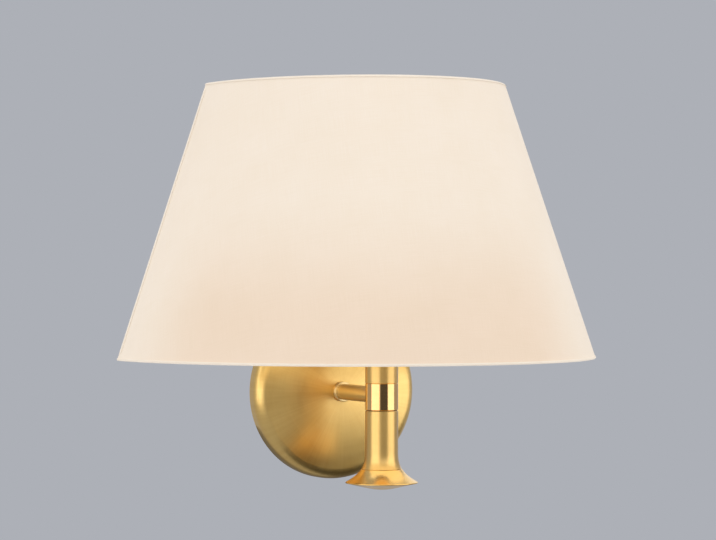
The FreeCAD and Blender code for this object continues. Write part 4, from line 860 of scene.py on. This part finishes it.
def softbox(name, turn, rise, away, width, height, level, in_reflections=True):
    """A large soft lamp, its turn counted from the camera. Level is how bright its face looks,
    where 1 is white."""
    data = bpy.data.lights.new(name, "AREA")
    data.shape = "RECTANGLE"
    data.size, data.size_y = width, height
    data.energy = level * math.pi * width * height
    lamp = bpy.data.objects.new(name, data)
    lamp.matrix_world = facing_light(CAMERA_TURN + turn, rise, away)
    lamp.visible_camera = False
    lamp.visible_glossy = in_reflections
    bpy.context.scene.collection.objects.link(lamp)


def only_reflected(name, points, faces, place, level, colour=PAPER):
    """A stage surface that only shows in reflections, as the sides of a studio do."""
    mesh = bpy.data.meshes.new(name)
    mesh.from_pydata(points, [], faces)
    material = bpy.data.materials.new(name)
    material.use_nodes = True
    tree = material.node_tree
    tree.nodes.clear()
    glow = put(tree, "ShaderNodeEmission", {"Color": ink(colour), "Strength": level})
    put(tree, "ShaderNodeOutputMaterial", {"Surface": glow})
    mesh.materials.append(material)
    surface = bpy.data.objects.new(name, mesh)
    surface.matrix_world = place
    for ray in ("camera", "diffuse", "transmission", "volume_scatter", "shadow"):
        setattr(surface, "visible_" + ray, False)
    bpy.context.scene.collection.objects.link(surface)


def dark_card(name, turn, rise, away, width, height, level):
    """A flat dark part of the room, its turn counted from the camera."""
    x, y = width / 2, height / 2
    corners = [(-x, -y, 0), (x, -y, 0), (x, y, 0), (-x, y, 0)]
    place = facing_light(CAMERA_TURN + turn, rise, away)
    only_reflected(name, corners, [(0, 1, 2, 3)], place, level)


def lit_underside(name, inset, hole, height, level, steps=48):
    """The light that fills the open underside of the shade, as the brass below it sees it."""
    axis = Vector((0, COLUMN_Y * MM, height * MM))
    outer = [oval_point(inset, height, math.pi * i / steps) for i in range(steps + 1)]
    points = outer + [axis + (point - axis) * hole for point in outer]
    faces = [(i, i + 1, steps + 2 + i, steps + 1 + i) for i in range(steps)]
    only_reflected(name, points, faces, Matrix.Identity(4), level, "F3E8D6")


def dark_crescent(name, radius, depth, y, turns, level, steps=48):
    """The narrow shadow that a wall holds under the plate."""
    start, end = turns
    angles = [math.radians(start + (end - start) * i / steps) for i in range(steps + 1)]
    outer = [radius + depth * math.sin(math.pi * i / steps) for i in range(steps + 1)]
    points = []
    for rim in ([radius] * (steps + 1), outer):
        points += [(r * math.cos(a) * MM, y * MM, r * math.sin(a) * MM) for r, a in zip(rim, angles)]
    faces = [(i, i + 1, steps + 2 + i, steps + 1 + i) for i in range(steps)]
    only_reflected(name, points, faces, Matrix.Identity(4), level)


# name, turn, rise, metres away, width, height, level
softbox("left_softbox", 46, 9, 1.6, 1.92, 1.5, 1.38)
softbox("right_softbox", -68.5, 10, 1.6, 1.74, 1.5, 1.35)
softbox("front_softbox", -15, 19, 1.6, 1.5, 1.0, 0.55)
softbox("top_softbox", 0, 78, 1.6, 1.6, 1.6, 0.9)
softbox("back_softbox", 180, 20, 1.8, 2.0, 1.2, 0.6)
softbox("under_softbox", 0, -89, 0.6, 0.5, 0.5, 1.9, in_reflections=False)
softbox("left_side_fill", 120, 10, 1.6, 1.2, 1.5, 0.75, in_reflections=False)
softbox("right_side_fill", -120, 10, 1.6, 1.2, 1.5, 0.7, in_reflections=False)
lit_underside("shade_glow", inset=12.0, hole=0.185, height=30.0, level=1.45)
dark_card("camera_side_card", -18, -6.8, 1.45, 1.4, 0.29, 0.2)
# Painted shadow: a dark card, seen only in reflections, for the wall's shadow under the plate.
dark_crescent("painted_wall_shadow", radius=PLATE_R - 1, depth=25, y=0.5, turns=(-160, -20), level=0.35)
dark_card("floor_card", -75, -50, 1.0, 1.7, 1.3, 0.08)

world = bpy.data.worlds.new("studio")
bpy.context.scene.world = world
world.use_nodes = True
sky = world.node_tree
sky.nodes.clear()
ray = put(sky, "ShaderNodeLightPath").outputs
seen = put(sky, "ShaderNodeMath", {0: ray["Is Camera Ray"], 1: ray["Is Glossy Ray"]}, operation="MAXIMUM")
seen = put(sky, "ShaderNodeMath", {0: seen, 1: ray["Is Transmission Ray"]}, operation="MAXIMUM")
light = put(sky, "ShaderNodeBackground", {"Color": ink("FFFFFF"), "Strength": 0.46})
ground = put(sky, "ShaderNodeBackground", {"Color": ink(PAPER), "Strength": 1.0})
mixed = put(sky, "ShaderNodeMixShader", {0: seen, 1: light, 2: ground})
put(sky, "ShaderNodeOutputWorld", {"Surface": mixed})

bpy.context.scene.view_settings.view_transform = "Standard"
